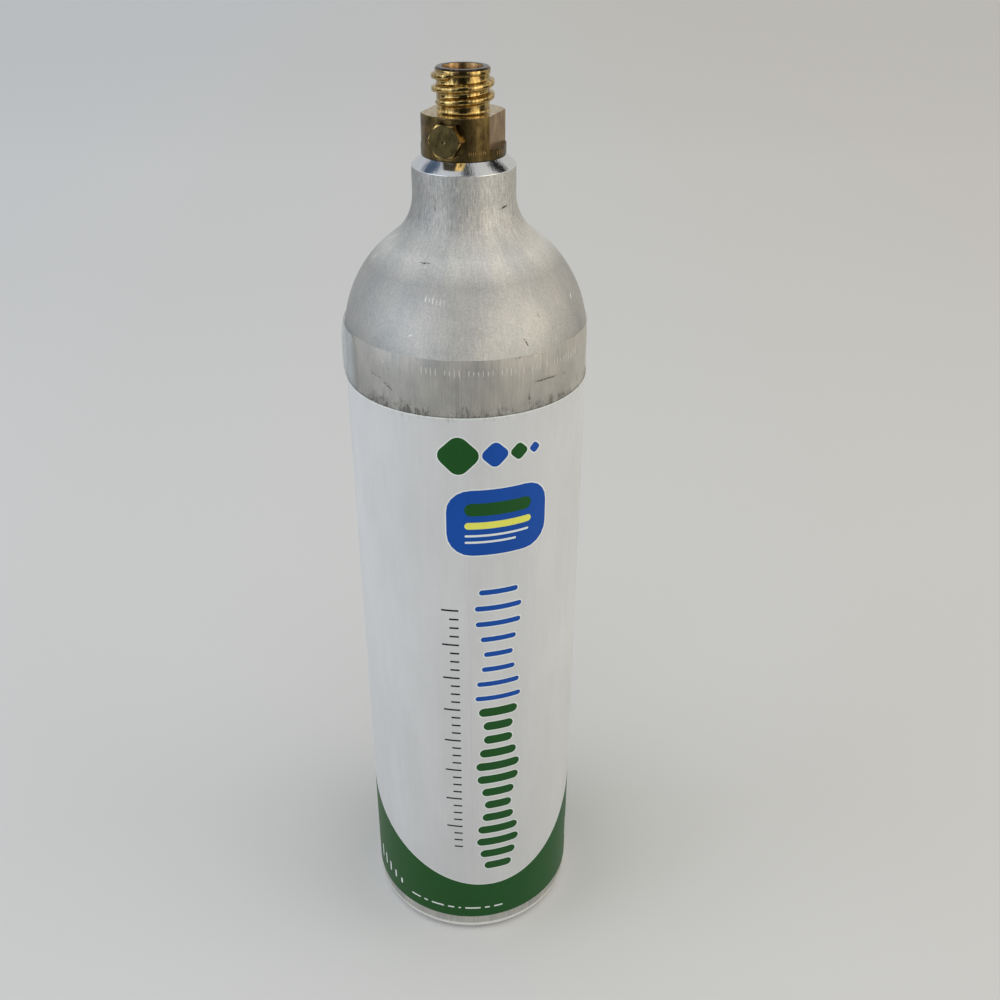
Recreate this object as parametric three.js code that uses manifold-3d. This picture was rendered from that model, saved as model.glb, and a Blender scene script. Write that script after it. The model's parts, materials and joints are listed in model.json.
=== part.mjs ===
// A refillable carbon dioxide cylinder for a countertop drinks carbonator: an aluminium pressure shell in
// a printed film sleeve, with a brass pin valve in its neck. Units are millimetres, +Z is up, and the
// origin is the centre of the foot.
import * as THREE from "three";
import { mergeVertices } from "three/addons/utils/BufferGeometryUtils.js";
import Module from "manifold-3d";

const wasm = await Module();
wasm.setup();

// ---------------------------------------------------------------------------------------------------
// Driving dimensions
// ---------------------------------------------------------------------------------------------------

// Clearances between neighbours.
const SEAT_GAP = 0.05; // between flat faces that seat on each other
const SLIDE_GAP = 0.1; // radial, between a piece and the bore that it is pressed or screwed into
const RUN_GAP = 0.3; // radial, between a moving piece and its bore

// Pressure shell.
const SHELL_RADIUS = 43.6;
const SHELL_WALL = 4;
const SHELL_CORNER = 5; // round between the wall and the foot
const FOOT_WIDTH = 7.5; // flat ring that it stands on
const BASE_THICKNESS = 7;
const BASE_RECESS = 4; // rise of the concave base at its centre
const INNER_CORNER = 11;
const SHOULDER_HEIGHT = 271.5; // where the straight wall ends
const INNER_DOME_RISE = 34; // less than its radius, so the wall thickens towards the neck
const NECK_RADIUS = 17.7;
const NECK_FILLET = 18;
const NECK_RISE = 63; // from the end of the straight wall to the neck's top face
const NECK_CHAMFER = 3.5;
const NECK_BORE_RADIUS = 9;
const GLAND_RADIUS = 11.6; // recess in the neck's top that holds the neck seal
const GLAND_DEPTH = 2.7;

// Printed film sleeve.
const FILM_THICKNESS = 0.28;
const FILM_GAP = 0.12;
const FILM_BOTTOM = 9.6;
const FILM_OVERLAP = 6.3; // how far the film runs up past the straight wall

// Valve body. Heights in the valve are measured from the neck's top face.
const COLLAR_RADIUS = 14.3;
const COLLAR_HEIGHT = 13.7;
const COLLAR_BEVEL = 0.4;
const WRENCH_WIDTH = 24; // across the two flats
const WRENCH_FLAT_BOTTOM = 3.5;
const WRENCH_TURN = 21; // degrees from +X to the flat's normal, clockwise seen from above
const SHANK_RADIUS = NECK_BORE_RADIUS - 2 * SLIDE_GAP;
const SHANK_LENGTH = 24.5;
const SHANK_BEVEL = 1.2;
const RELIEF_RADIUS = 8.3; // undercut of the shank beside the neck seal
const RELIEF_LENGTH = 3.2;

// Outlet stub. Its threaded length is a plain land at the thread's outside diameter.
const STUB_HEIGHT = 27.5;
const STUB_BEVEL = 0.7;
const STUB_FILLET = 0.9;
const THREAD_RADIUS = 10.4;
const THREAD_DEPTH = 1.65;
const THREAD_FLANK = 15; // degrees, half of the thread's included angle
const THREAD_BOTTOM = 16;
const THREAD_LENGTH = 9.7;

// Passages through the valve body.
const STUB_WALL = 2.15;
const SOCKET_DEPTH = 8.6;
const SOCKET_BEVEL = 0.5;
const CORE_BORE_RADIUS = 5.2;
const CORE_LENGTH = 8.2;
const CHAMBER_RADIUS = 4.4;
const CHAMBER_FLOOR = -4.5; // ledge that carries the return spring
const INLET_RADIUS = 2.2;
const TUBE_BORE_RADIUS = 4.3;
const TUBE_BORE_DEPTH = 9.5;

// Valve core: the screwed-in insert with the seat.
const CORE_PIN_BORE = 2.1;
const CORE_SEAT_RADIUS = 2.7;
const CORE_SEAT_RISE = 0.5;
const CORE_GROOVE_DEPTH = 1;
const CORE_GROOVE_WIDTH = 1.7;
const CORE_GROOVE_HEIGHT = 3.4; // middle of the groove above the insert's lower face
const CORE_SLOT_WIDTH = 1.6;
const CORE_SLOT_DEPTH = 1.4;

// Moving pieces.
const PIN_RADIUS = 1.25;
const PIN_BEVEL = 0.4;
const PIN_STAND = 2.6; // how far the pin stands above the insert, more than its travel
const PIN_LAND_RADIUS = CORE_PIN_BORE - RUN_GAP;
const PIN_LAND_LENGTH = 3;
const PIN_LAND_FLAT = 1.35; // from the axis to each gas flat
const PIN_LAND_DROP = 3.2; // top of the land below the insert's top
const PIN_INSERTION = 3; // length of the pin inside the poppet
const POPPET_RADIUS = CHAMBER_RADIUS - RUN_GAP;
const POPPET_FLAT = 3.5; // from the axis to each gas flat
const POPPET_HEIGHT = 5;
const POPPET_RIM_DROP = 0.4; // the poppet's rim lies this far under its seal's face
const SEAL_RADIUS = 3.1;
const SEAL_THICKNESS = 1.5;
const SPIGOT_RADIUS = 1.9;
const SPIGOT_LENGTH = 3;
const SPIGOT_BEVEL = 0.4;
const GAS_FLATS = 3;

// Return spring.
const WIRE_RADIUS = 0.45;
const SPRING_RADIUS = 2.95; // to the middle of the wire
const SPRING_TURNS = 6;
const SPRING_END_TURNS = 1; // closed turns at each end
const SPRING_STEPS = 16; // in each turn
const WIRE_FLAT = 0.12; // ground off each end

// Seals.
const NECK_SEAL_SECTION = 2.6;
const CORE_SEAL_SECTION = 1.5;

// Inlet end of the shank.
const FILTER_THICKNESS = 1;
const FERRULE_FLANGE_RADIUS = 5.6;
const FERRULE_FLANGE_HEIGHT = 2;
const FERRULE_BEVEL = 0.6;
const TUBE_RADIUS = 2.5;
const TUBE_WALL = 0.6;
const TUBE_LENGTH = 62;
const TUBE_CUT = 30; // degrees, slope of the tube's lower end

// Burst disc port in the side of the collar.
const PORT_TURN = 270 - WRENCH_TURN; // degrees round from +X to the port, square to the wrench flats
const PORT_HEIGHT = 7.1;
const SPOT_FACE_DEPTH = 1.3; // of the flat that the plug seats on, below the collar's surface
const SPOT_FACE_RADIUS = 6.2;
const PLUG_BORE_RADIUS = 4;
const DISC_SEAT = 7.4; // from the valve's axis to the port's inner seat
const PILOT_RADIUS = 1.5;
const DISC_RADIUS = 3.6;
const DISC_THICKNESS = 0.3;
const DISC_BULGE = 0.5;
const GASKET_THICKNESS = 0.8;
const GASKET_BORE = 2;
const PLUG_HEX = 10; // across flats
const PLUG_TURN = 12; // degrees clockwise, seen from outside, from a level hexagon
const PLUG_HEAD = 4.6;
const PLUG_BEVEL = 0.9; // height of the chamfer on the head's corners
const PLUG_FACE_RADIUS = 4.8; // of the flat that the chamfer leaves
const PLUG_CUP_RADIUS = 2;
const PLUG_CUP_STOP = 1.6; // metal left between the cup and the head's outer face
const VENT_RADIUS = 0.9; // drilled across the head, from flat to flat
const PLUG_DIMPLE_DEPTH = 0.5;
const PLUG_DIMPLE_RADIUS = 0.8;

// Facets round each kind of piece.
const SHELL_FACETS = 56;
const BODY_FACETS = 44;
const SMALL_FACETS = 24;

// Colours and finishes.
const finish = (color, metalness, roughness) =>
  new THREE.MeshStandardMaterial({ color, metalness, roughness });
const ALUMINIUM = finish(0xb9babc, 0.9, 0.45);
const BRASS = finish(0xb08a45, 1, 0.3);
const STEEL = finish(0xc4c6c8, 1, 0.25);
const COPPER = finish(0xb46a45, 1, 0.35);
const RUBBER = finish(0x1d1d1f, 0, 0.7);
const NYLON = finish(0xe7e2d2, 0, 0.5);
const FILM = finish(0xdfe2e2, 0, 0.3);
const SINTER = finish(0x9c7b4a, 0.8, 0.8);

// ---------------------------------------------------------------------------------------------------
// Geometry helpers
// ---------------------------------------------------------------------------------------------------

const radians = THREE.MathUtils.degToRad;
const degrees = THREE.MathUtils.radToDeg;

// A closed three.js geometry as a manifold-3d solid.
function toSolid(geometry) {
  const bare = new THREE.BufferGeometry().setAttribute("position", geometry.getAttribute("position"));
  if (geometry.index) bare.setIndex(geometry.index);
  const merged = mergeVertices(bare, 1e-4);
  return new wasm.Manifold(
    new wasm.Mesh({
      numProp: 3,
      vertProperties: merged.attributes.position.array,
      triVerts: new Uint32Array(merged.index.array),
    }),
  );
}

// A manifold-3d solid as a three.js geometry.
function toGeometry(solid) {
  const mesh = solid.getMesh();
  const geometry = new THREE.BufferGeometry();
  geometry.setAttribute("position", new THREE.BufferAttribute(new Float32Array(mesh.vertProperties), 3));
  geometry.setIndex(new THREE.BufferAttribute(new Uint32Array(mesh.triVerts), 1));
  geometry.computeVertexNormals();
  return geometry;
}

// Revolves a closed outline of [radius, height] points, listed anticlockwise, round +Z.
function revolve(outline, facets) {
  const closed = [...outline, outline[0]].map(([radius, height]) => new THREE.Vector2(radius, height));
  return new THREE.LatheGeometry(closed, facets).rotateX(Math.PI / 2);
}

// Points on an arc about [cx, cz] from one angle to another, in degrees, with both ends.
function arc(cx, cz, radius, from, to, steps, rise = radius) {
  const points = [];
  for (let i = 0; i <= steps; i += 1) {
    const angle = radians(from + ((to - from) * i) / steps);
    points.push([cx + radius * Math.cos(angle), cz + rise * Math.sin(angle)]);
  }
  return points;
}

// A prism of a flat outline, from one height to another.
function prism(shape, bottom, top) {
  const solid = new THREE.ExtrudeGeometry(shape, { depth: top - bottom, bevelEnabled: false });
  return solid.translate(0, 0, bottom);
}

// A plain rod along +Z.
function rod(radius, bottom, top, facets = SMALL_FACETS) {
  return revolve([[0, bottom], [radius, bottom], [radius, top], [0, top]], facets);
}

// A plain ring along +Z.
function ring(bore, radius, bottom, top, facets = SMALL_FACETS) {
  return revolve([[bore, bottom], [radius, bottom], [radius, top], [bore, top]], facets);
}

// A block that lies beyond a plane at a distance from the axis, to cut a flat with.
function flatCutter(distance, bottom, top, turn) {
  const reach = 2 * COLLAR_RADIUS;
  return new THREE.BoxGeometry(reach, 2 * reach, top - bottom)
    .translate(distance + reach / 2, 0, (top + bottom) / 2)
    .rotateZ(radians(turn));
}

// Cuts equal flats round a solid.
function cutFlats(solid, distance, bottom, top, count) {
  let cut = solid;
  for (let i = 0; i < count; i += 1) {
    cut = cut.subtract(toSolid(flatCutter(distance, bottom, top, (360 * i) / count)));
  }
  return cut;
}

function part(name, geometry, material) {
  const mesh = new THREE.Mesh(geometry, material);
  mesh.name = name;
  return mesh;
}

// ---------------------------------------------------------------------------------------------------
// Pressure shell and sleeve
// ---------------------------------------------------------------------------------------------------

const NECK_TOP = SHOULDER_HEIGHT + NECK_RISE;
const FILM_TOP = SHOULDER_HEIGHT + FILM_OVERLAP;

// Shell outline: up the outside from the foot, over the neck, and down the inside. The shoulder is half
// a sphere, and its fillet into the neck touches both, so the fillet's centre is one radius off each.
function shellOutline() {
  const footOuter = SHELL_RADIUS - SHELL_CORNER;
  const footInner = footOuter - FOOT_WIDTH;
  const innerRadius = SHELL_RADIUS - SHELL_WALL;
  const floor = BASE_RECESS + BASE_THICKNESS;
  const baseArcRadius = (footInner ** 2 + BASE_RECESS ** 2) / (2 * BASE_RECESS);
  const baseHalfAngle = degrees(Math.asin(footInner / baseArcRadius));
  const filletRadius = NECK_RADIUS + NECK_FILLET;
  const filletReach = SHELL_RADIUS + NECK_FILLET;
  const filletAngle = degrees(Math.acos(filletRadius / filletReach));
  const filletHeight = SHOULDER_HEIGHT + Math.sqrt(filletReach ** 2 - filletRadius ** 2);
  const innerTopAngle = degrees(Math.acos(NECK_BORE_RADIUS / innerRadius));
  return [
    ...arc(0, BASE_RECESS - baseArcRadius, baseArcRadius, 90, 90 - baseHalfAngle, 4),
    ...arc(footOuter, SHELL_CORNER, SHELL_CORNER, -90, 0, 5),
    ...arc(0, SHOULDER_HEIGHT, SHELL_RADIUS, 0, filletAngle, 9),
    ...arc(filletRadius, filletHeight, NECK_FILLET, 180 + filletAngle, 180, 5).slice(1),
    [NECK_RADIUS, NECK_TOP - NECK_CHAMFER],
    [NECK_RADIUS - NECK_CHAMFER, NECK_TOP],
    [GLAND_RADIUS, NECK_TOP],
    [GLAND_RADIUS, NECK_TOP - GLAND_DEPTH],
    [NECK_BORE_RADIUS, NECK_TOP - GLAND_DEPTH],
    ...arc(0, SHOULDER_HEIGHT, innerRadius, innerTopAngle, 0, 6, INNER_DOME_RISE),
    ...arc(innerRadius - INNER_CORNER, floor + INNER_CORNER, INNER_CORNER, 0, -90, 4),
    [0, floor],
  ];
}

const cylinderShell = () => part("cylinder_shell", revolve(shellOutline(), SHELL_FACETS), ALUMINIUM);

function labelSleeve() {
  const inner = SHELL_RADIUS + FILM_GAP;
  const outer = inner + FILM_THICKNESS;
  return part("label_sleeve", ring(inner, outer, FILM_BOTTOM, FILM_TOP, SHELL_FACETS), FILM);
}

// ---------------------------------------------------------------------------------------------------
// Valve body
// ---------------------------------------------------------------------------------------------------

const STUB_ROOT_RADIUS = THREAD_RADIUS - THREAD_DEPTH;
const THREAD_SLOPE = THREAD_DEPTH * Math.tan(radians(THREAD_FLANK)); // height that a flank takes up
const SOCKET_RADIUS = STUB_ROOT_RADIUS - STUB_WALL;
const SPOT_FACE = COLLAR_RADIUS - SPOT_FACE_DEPTH; // from the valve's axis
const SOCKET_FLOOR = STUB_HEIGHT - SOCKET_DEPTH;
const CORE_FLOOR = SOCKET_FLOOR - CORE_LENGTH;
const TUBE_BORE_TOP = -SHANK_LENGTH + TUBE_BORE_DEPTH;

// Body outline: the passage from the bottom up is the inner side, the shank, collar and stub the outer.
function bodyOutline() {
  return [
    [TUBE_BORE_RADIUS, -SHANK_LENGTH],
    [SHANK_RADIUS - SHANK_BEVEL, -SHANK_LENGTH],
    [SHANK_RADIUS, -SHANK_LENGTH + SHANK_BEVEL],
    [SHANK_RADIUS, -RELIEF_LENGTH - (SHANK_RADIUS - RELIEF_RADIUS)],
    [RELIEF_RADIUS, -RELIEF_LENGTH],
    [RELIEF_RADIUS, SEAT_GAP],
    [COLLAR_RADIUS - COLLAR_BEVEL, SEAT_GAP],
    [COLLAR_RADIUS, SEAT_GAP + COLLAR_BEVEL],
    [COLLAR_RADIUS, COLLAR_HEIGHT - COLLAR_BEVEL],
    [COLLAR_RADIUS - COLLAR_BEVEL, COLLAR_HEIGHT],
    ...arc(STUB_ROOT_RADIUS + STUB_FILLET, COLLAR_HEIGHT + STUB_FILLET, STUB_FILLET, 270, 180, 3),
    [STUB_ROOT_RADIUS, THREAD_BOTTOM - THREAD_SLOPE],
    [THREAD_RADIUS, THREAD_BOTTOM],
    [THREAD_RADIUS, THREAD_BOTTOM + THREAD_LENGTH],
    [STUB_ROOT_RADIUS, THREAD_BOTTOM + THREAD_LENGTH + THREAD_SLOPE],
    [STUB_ROOT_RADIUS, STUB_HEIGHT - STUB_BEVEL],
    [STUB_ROOT_RADIUS - STUB_BEVEL, STUB_HEIGHT],
    [SOCKET_RADIUS + SOCKET_BEVEL, STUB_HEIGHT],
    [SOCKET_RADIUS, STUB_HEIGHT - SOCKET_BEVEL],
    [SOCKET_RADIUS, SOCKET_FLOOR],
    [CORE_BORE_RADIUS, SOCKET_FLOOR],
    [CORE_BORE_RADIUS, CORE_FLOOR],
    [CHAMBER_RADIUS, CORE_FLOOR],
    [CHAMBER_RADIUS, CHAMBER_FLOOR],
    [INLET_RADIUS, CHAMBER_FLOOR],
    [INLET_RADIUS, TUBE_BORE_TOP],
    [TUBE_BORE_RADIUS, TUBE_BORE_TOP],
  ];
}

// What the burst disc port removes: the spot face, the plug's bore and the pilot into the chamber.
function portCutter() {
  const outside = 2 * COLLAR_RADIUS;
  const outline = [
    [0, 0],
    [PILOT_RADIUS, 0],
    [PILOT_RADIUS, DISC_SEAT],
    [PLUG_BORE_RADIUS, DISC_SEAT],
    [PLUG_BORE_RADIUS, SPOT_FACE],
    [SPOT_FACE_RADIUS, SPOT_FACE],
    [SPOT_FACE_RADIUS, outside],
    [0, outside],
  ];
  return revolve(outline, SMALL_FACETS)
    .rotateY(Math.PI / 2)
    .rotateZ(radians(PORT_TURN))
    .translate(0, 0, PORT_HEIGHT);
}

function valveBody() {
  let body = toSolid(revolve(bodyOutline(), BODY_FACETS));
  for (const turn of [-WRENCH_TURN, 180 - WRENCH_TURN]) {
    body = body.subtract(toSolid(flatCutter(WRENCH_WIDTH / 2, WRENCH_FLAT_BOTTOM, STUB_HEIGHT + 1, turn)));
  }
  body = body.subtract(toSolid(portCutter()));
  return part("valve_body", toGeometry(body), BRASS);
}

// A round rubber seal centred on a height.
function oRing(name, middleRadius, section, height) {
  const torus = new THREE.TorusGeometry(middleRadius, section / 2, 8, SMALL_FACETS);
  return part(name, torus.translate(0, 0, height), RUBBER);
}

const neckSeal = () =>
  oRing("neck_o_ring", (RELIEF_RADIUS + GLAND_RADIUS) / 2, NECK_SEAL_SECTION, -GLAND_DEPTH / 2);

// ---------------------------------------------------------------------------------------------------
// Valve core: insert, pin, poppet, seal and spring
// ---------------------------------------------------------------------------------------------------

const CORE_BOTTOM = CORE_FLOOR + SEAT_GAP;
const CORE_TOP = SOCKET_FLOOR - SEAT_GAP;
const CORE_RADIUS = CORE_BORE_RADIUS - SLIDE_GAP;
const CORE_GROOVE_MIDDLE = CORE_BOTTOM + CORE_GROOVE_HEIGHT;
const SEAT_HEIGHT = CORE_BOTTOM - CORE_SEAT_RISE;
const SEAL_TOP = SEAT_HEIGHT - SEAT_GAP;
const SEAL_BOTTOM = SEAL_TOP - SEAL_THICKNESS;
const POPPET_TOP = SEAL_TOP - POPPET_RIM_DROP;
const POPPET_BOTTOM = POPPET_TOP - POPPET_HEIGHT;

function coreInsert() {
  const low = CORE_GROOVE_MIDDLE - CORE_GROOVE_WIDTH / 2;
  const high = CORE_GROOVE_MIDDLE + CORE_GROOVE_WIDTH / 2;
  const outline = [
    [CORE_PIN_BORE, SEAT_HEIGHT],
    [CORE_SEAT_RADIUS, SEAT_HEIGHT],
    [CORE_SEAT_RADIUS + CORE_SEAT_RISE, CORE_BOTTOM],
    [CORE_RADIUS, CORE_BOTTOM],
    [CORE_RADIUS, low],
    [CORE_RADIUS - CORE_GROOVE_DEPTH, low],
    [CORE_RADIUS - CORE_GROOVE_DEPTH, high],
    [CORE_RADIUS, high],
    [CORE_RADIUS, CORE_TOP],
    [CORE_PIN_BORE, CORE_TOP],
  ];
  const slot = new THREE.BoxGeometry(2 * CORE_BORE_RADIUS + 1, CORE_SLOT_WIDTH, 2 * CORE_SLOT_DEPTH);
  const insert = toSolid(revolve(outline, SMALL_FACETS)).subtract(toSolid(slot.translate(0, 0, CORE_TOP)));
  return part("core_insert", toGeometry(insert), BRASS);
}

function coreSeal() {
  const grooveRadius = CORE_RADIUS - CORE_GROOVE_DEPTH;
  const middle = (grooveRadius + CORE_BORE_RADIUS) / 2;
  const section = Math.min(CORE_SEAL_SECTION, CORE_BORE_RADIUS - grooveRadius - SEAT_GAP);
  return oRing("core_o_ring", middle, section, CORE_GROOVE_MIDDLE);
}

function valvePin() {
  const bottom = SEAL_BOTTOM - SEAT_GAP - PIN_INSERTION;
  const top = CORE_TOP + PIN_STAND;
  const landTop = CORE_TOP - PIN_LAND_DROP;
  const landBottom = landTop - PIN_LAND_LENGTH;
  const outline = [
    [0, bottom],
    [PIN_RADIUS, bottom],
    [PIN_RADIUS, landBottom - (PIN_LAND_RADIUS - PIN_RADIUS)],
    [PIN_LAND_RADIUS, landBottom],
    [PIN_LAND_RADIUS, landTop],
    [PIN_RADIUS, landTop + (PIN_LAND_RADIUS - PIN_RADIUS)],
    [PIN_RADIUS, top - PIN_BEVEL],
    [PIN_RADIUS - PIN_BEVEL, top],
    [0, top],
  ];
  const pin = toSolid(revolve(outline, SMALL_FACETS));
  const fluted = cutFlats(pin, PIN_LAND_FLAT, landBottom - PIN_RADIUS, landTop + PIN_RADIUS, GAS_FLATS);
  return part("valve_pin", toGeometry(fluted), STEEL);
}

function poppet() {
  const recess = SEAL_BOTTOM - SEAT_GAP;
  const hole = recess - PIN_INSERTION - SEAT_GAP;
  const outline = [
    [0, POPPET_BOTTOM - SPIGOT_LENGTH],
    [SPIGOT_RADIUS - SPIGOT_BEVEL, POPPET_BOTTOM - SPIGOT_LENGTH],
    [SPIGOT_RADIUS, POPPET_BOTTOM - SPIGOT_LENGTH + SPIGOT_BEVEL],
    [SPIGOT_RADIUS, POPPET_BOTTOM],
    [POPPET_RADIUS, POPPET_BOTTOM],
    [POPPET_RADIUS, POPPET_TOP],
    [SEAL_RADIUS + SLIDE_GAP, POPPET_TOP],
    [SEAL_RADIUS + SLIDE_GAP, recess],
    [PIN_RADIUS + SLIDE_GAP, recess],
    [PIN_RADIUS + SLIDE_GAP, hole],
    [0, hole],
  ];
  const turned = toSolid(revolve(outline, SMALL_FACETS));
  const fluted = cutFlats(turned, POPPET_FLAT, POPPET_BOTTOM, POPPET_TOP + SEAL_THICKNESS, GAS_FLATS);
  return part("poppet", toGeometry(fluted), BRASS);
}

const poppetSeal = () =>
  part("poppet_seal", ring(PIN_RADIUS + SLIDE_GAP, SEAL_RADIUS, SEAL_BOTTOM, SEAL_TOP), NYLON);

// Wire centreline of a compression spring with a closed turn at each end.
class SpringCurve extends THREE.Curve {
  constructor(bottom, top) {
    super();
    this.bottom = bottom;
    this.top = top;
  }

  getPoint(t, target = new THREE.Vector3()) {
    const turns = SPRING_TURNS * t;
    const closedPitch = 2 * WIRE_RADIUS + SEAT_GAP;
    const closedRise = SPRING_END_TURNS * closedPitch;
    const openRise = this.top - this.bottom - 2 * closedRise;
    const openTurns = SPRING_TURNS - 2 * SPRING_END_TURNS;
    const open = THREE.MathUtils.clamp(turns - SPRING_END_TURNS, 0, openTurns);
    const rise = closedPitch * (turns - open) + (openRise * open) / openTurns;
    const angle = 2 * Math.PI * turns;
    return target.set(SPRING_RADIUS * Math.cos(angle), SPRING_RADIUS * Math.sin(angle), this.bottom + rise);
  }
}

function returnSpring() {
  const low = CHAMBER_FLOOR + SEAT_GAP;
  const high = POPPET_BOTTOM - SEAT_GAP;
  const inset = WIRE_RADIUS - WIRE_FLAT;
  const wire = new THREE.Shape().absarc(0, 0, WIRE_RADIUS, 0, 2 * Math.PI);
  const coil = toSolid(
    new THREE.ExtrudeGeometry(wire, {
      steps: SPRING_TURNS * SPRING_STEPS,
      curveSegments: 4,
      bevelEnabled: false,
      extrudePath: new SpringCurve(low + inset, high - inset),
    }),
  );
  const ground = coil.intersect(toSolid(rod(2 * SPRING_RADIUS, low, high)));
  return part("return_spring", toGeometry(ground), STEEL);
}

// ---------------------------------------------------------------------------------------------------
// Inlet end: filter, ferrule and tube
// ---------------------------------------------------------------------------------------------------

const FILTER_TOP = TUBE_BORE_TOP - SEAT_GAP;
const FERRULE_TOP = FILTER_TOP - FILTER_THICKNESS - SEAT_GAP;
const FERRULE_SHOULDER = -SHANK_LENGTH - SEAT_GAP;

const inletFilter = () =>
  part("inlet_filter", rod(TUBE_BORE_RADIUS - SLIDE_GAP, FILTER_TOP - FILTER_THICKNESS, FILTER_TOP), SINTER);

function tubeFerrule() {
  const bore = TUBE_RADIUS + SLIDE_GAP;
  const outside = TUBE_BORE_RADIUS - SLIDE_GAP;
  const bottom = FERRULE_SHOULDER - FERRULE_FLANGE_HEIGHT;
  const outline = [
    [bore, bottom],
    [FERRULE_FLANGE_RADIUS - FERRULE_BEVEL, bottom],
    [FERRULE_FLANGE_RADIUS, bottom + FERRULE_BEVEL],
    [FERRULE_FLANGE_RADIUS, FERRULE_SHOULDER],
    [outside, FERRULE_SHOULDER],
    [outside, FERRULE_TOP],
    [bore, FERRULE_TOP],
  ];
  return part("tube_ferrule", revolve(outline, SMALL_FACETS), BRASS);
}

function antiSiphonTube() {
  const bottom = FERRULE_TOP - TUBE_LENGTH;
  const tube = toSolid(ring(TUBE_RADIUS - TUBE_WALL, TUBE_RADIUS, bottom, FERRULE_TOP));
  const side = 8 * TUBE_RADIUS;
  const slope = new THREE.BoxGeometry(side, side, side)
    .translate(0, 0, -side / 2)
    .rotateY(radians(TUBE_CUT))
    .translate(0, 0, bottom + TUBE_RADIUS * Math.tan(radians(TUBE_CUT)));
  return part("anti_siphon_tube", toGeometry(tube.subtract(toSolid(slope))), NYLON);
}

// ---------------------------------------------------------------------------------------------------
// Burst disc assembly, built along +Z from the valve's axis outwards and then turned into its port
// ---------------------------------------------------------------------------------------------------

const GASKET_INNER = DISC_SEAT + SEAT_GAP;
const DISC_INNER = GASKET_INNER + GASKET_THICKNESS + SEAT_GAP;
const PLUG_INNER = DISC_INNER + DISC_THICKNESS + SEAT_GAP;
const HEAD_INNER = SPOT_FACE + SEAT_GAP;

const burstGasket = () =>
  part(
    "burst_disc_gasket",
    ring(GASKET_BORE, DISC_RADIUS, GASKET_INNER, GASKET_INNER + GASKET_THICKNESS),
    NYLON,
  );

// A thin disc, flat at its rim and bulged outwards into the plug's cup.
function burstDisc() {
  const chord = PLUG_CUP_RADIUS - DISC_THICKNESS - RUN_GAP;
  const radius = (chord ** 2 + DISC_BULGE ** 2) / (2 * DISC_BULGE);
  const half = degrees(Math.asin(chord / radius));
  const dome = (rim) => arc(0, rim + DISC_BULGE - radius, radius, 90 - half, 90, 4);
  const outline = [
    ...dome(DISC_INNER).reverse(),
    [DISC_RADIUS, DISC_INNER],
    [DISC_RADIUS, DISC_INNER + DISC_THICKNESS],
    ...dome(DISC_INNER + DISC_THICKNESS),
  ];
  return part("burst_disc", revolve(outline, SMALL_FACETS), COPPER);
}

// Hexagonal plug: a cup behind the disc, with vents drilled across the head.
function burstPlug() {
  const tip = HEAD_INNER + PLUG_HEAD;
  const corner = PLUG_HEX / Math.sqrt(3);
  const hexagon = new THREE.Shape();
  for (let i = 0; i < 6; i += 1) {
    const angle = radians(60 * i + 30 - PLUG_TURN);
    hexagon[i ? "lineTo" : "moveTo"](corner * Math.cos(angle), corner * Math.sin(angle));
  }
  const bevelled = revolve(
    [
      [0, HEAD_INNER],
      [corner + PLUG_BEVEL, HEAD_INNER],
      [corner + PLUG_BEVEL, tip - PLUG_BEVEL],
      [PLUG_FACE_RADIUS, tip],
      [PLUG_DIMPLE_RADIUS, tip],
      [0, tip - PLUG_DIMPLE_DEPTH],
    ],
    BODY_FACETS,
  );
  const shank = rod(PLUG_BORE_RADIUS - SLIDE_GAP, PLUG_INNER, HEAD_INNER + PLUG_BEVEL);
  const cup = rod(PLUG_CUP_RADIUS, 0, tip - PLUG_CUP_STOP);
  const vent = rod(VENT_RADIUS, -PLUG_HEX, PLUG_HEX)
    .rotateY(Math.PI / 2)
    .rotateZ(radians(60 - PLUG_TURN));
  const plug = toSolid(prism(hexagon, HEAD_INNER, tip))
    .intersect(toSolid(bevelled))
    .add(toSolid(shank))
    .subtract(toSolid(cup))
    .subtract(toSolid(vent.translate(0, 0, tip - PLUG_CUP_STOP - VENT_RADIUS - SLIDE_GAP)));
  return part("burst_disc_plug", toGeometry(plug), BRASS);
}

// ---------------------------------------------------------------------------------------------------
// Assembly
// ---------------------------------------------------------------------------------------------------

// The port's pieces are made along +Z; this group lays that axis level and points it at the port.
function burstAssembly() {
  const laidDown = new THREE.Group();
  laidDown.rotation.y = Math.PI / 2;
  laidDown.add(burstGasket(), burstDisc(), burstPlug());
  const port = new THREE.Group();
  port.position.z = PORT_HEIGHT;
  port.rotation.z = radians(PORT_TURN);
  port.add(laidDown);
  return port;
}

function valve() {
  const group = new THREE.Group();
  group.position.z = NECK_TOP;
  group.add(valveBody(), neckSeal());
  group.add(coreInsert(), coreSeal(), valvePin(), poppet(), poppetSeal(), returnSpring());
  group.add(inletFilter(), tubeFerrule(), antiSiphonTube());
  group.add(burstAssembly());
  return group;
}

const carbonator = new THREE.Group();
carbonator.add(cylinderShell(), labelSleeve(), valve());

export default carbonator;
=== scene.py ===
# %% [markdown]
# # A refillable gas cylinder for a countertop drinks carbonator
# The real object is a spun aluminium bottle with a brass pin valve in its neck and a printed film shrunk
# round its straight wall. The engineering model already fixes every size and every joint, so this lesson
# only adds looks: finer surfaces, finishes, print, wear and light. The first cell loads that model as a
# frame that nothing here may move.

# %% Load the frame
import json
import math
from collections import namedtuple

import bmesh
import bpy
from mathutils import Matrix, Vector
from mathutils.geometry import delaunay_2d_cdt

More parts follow.
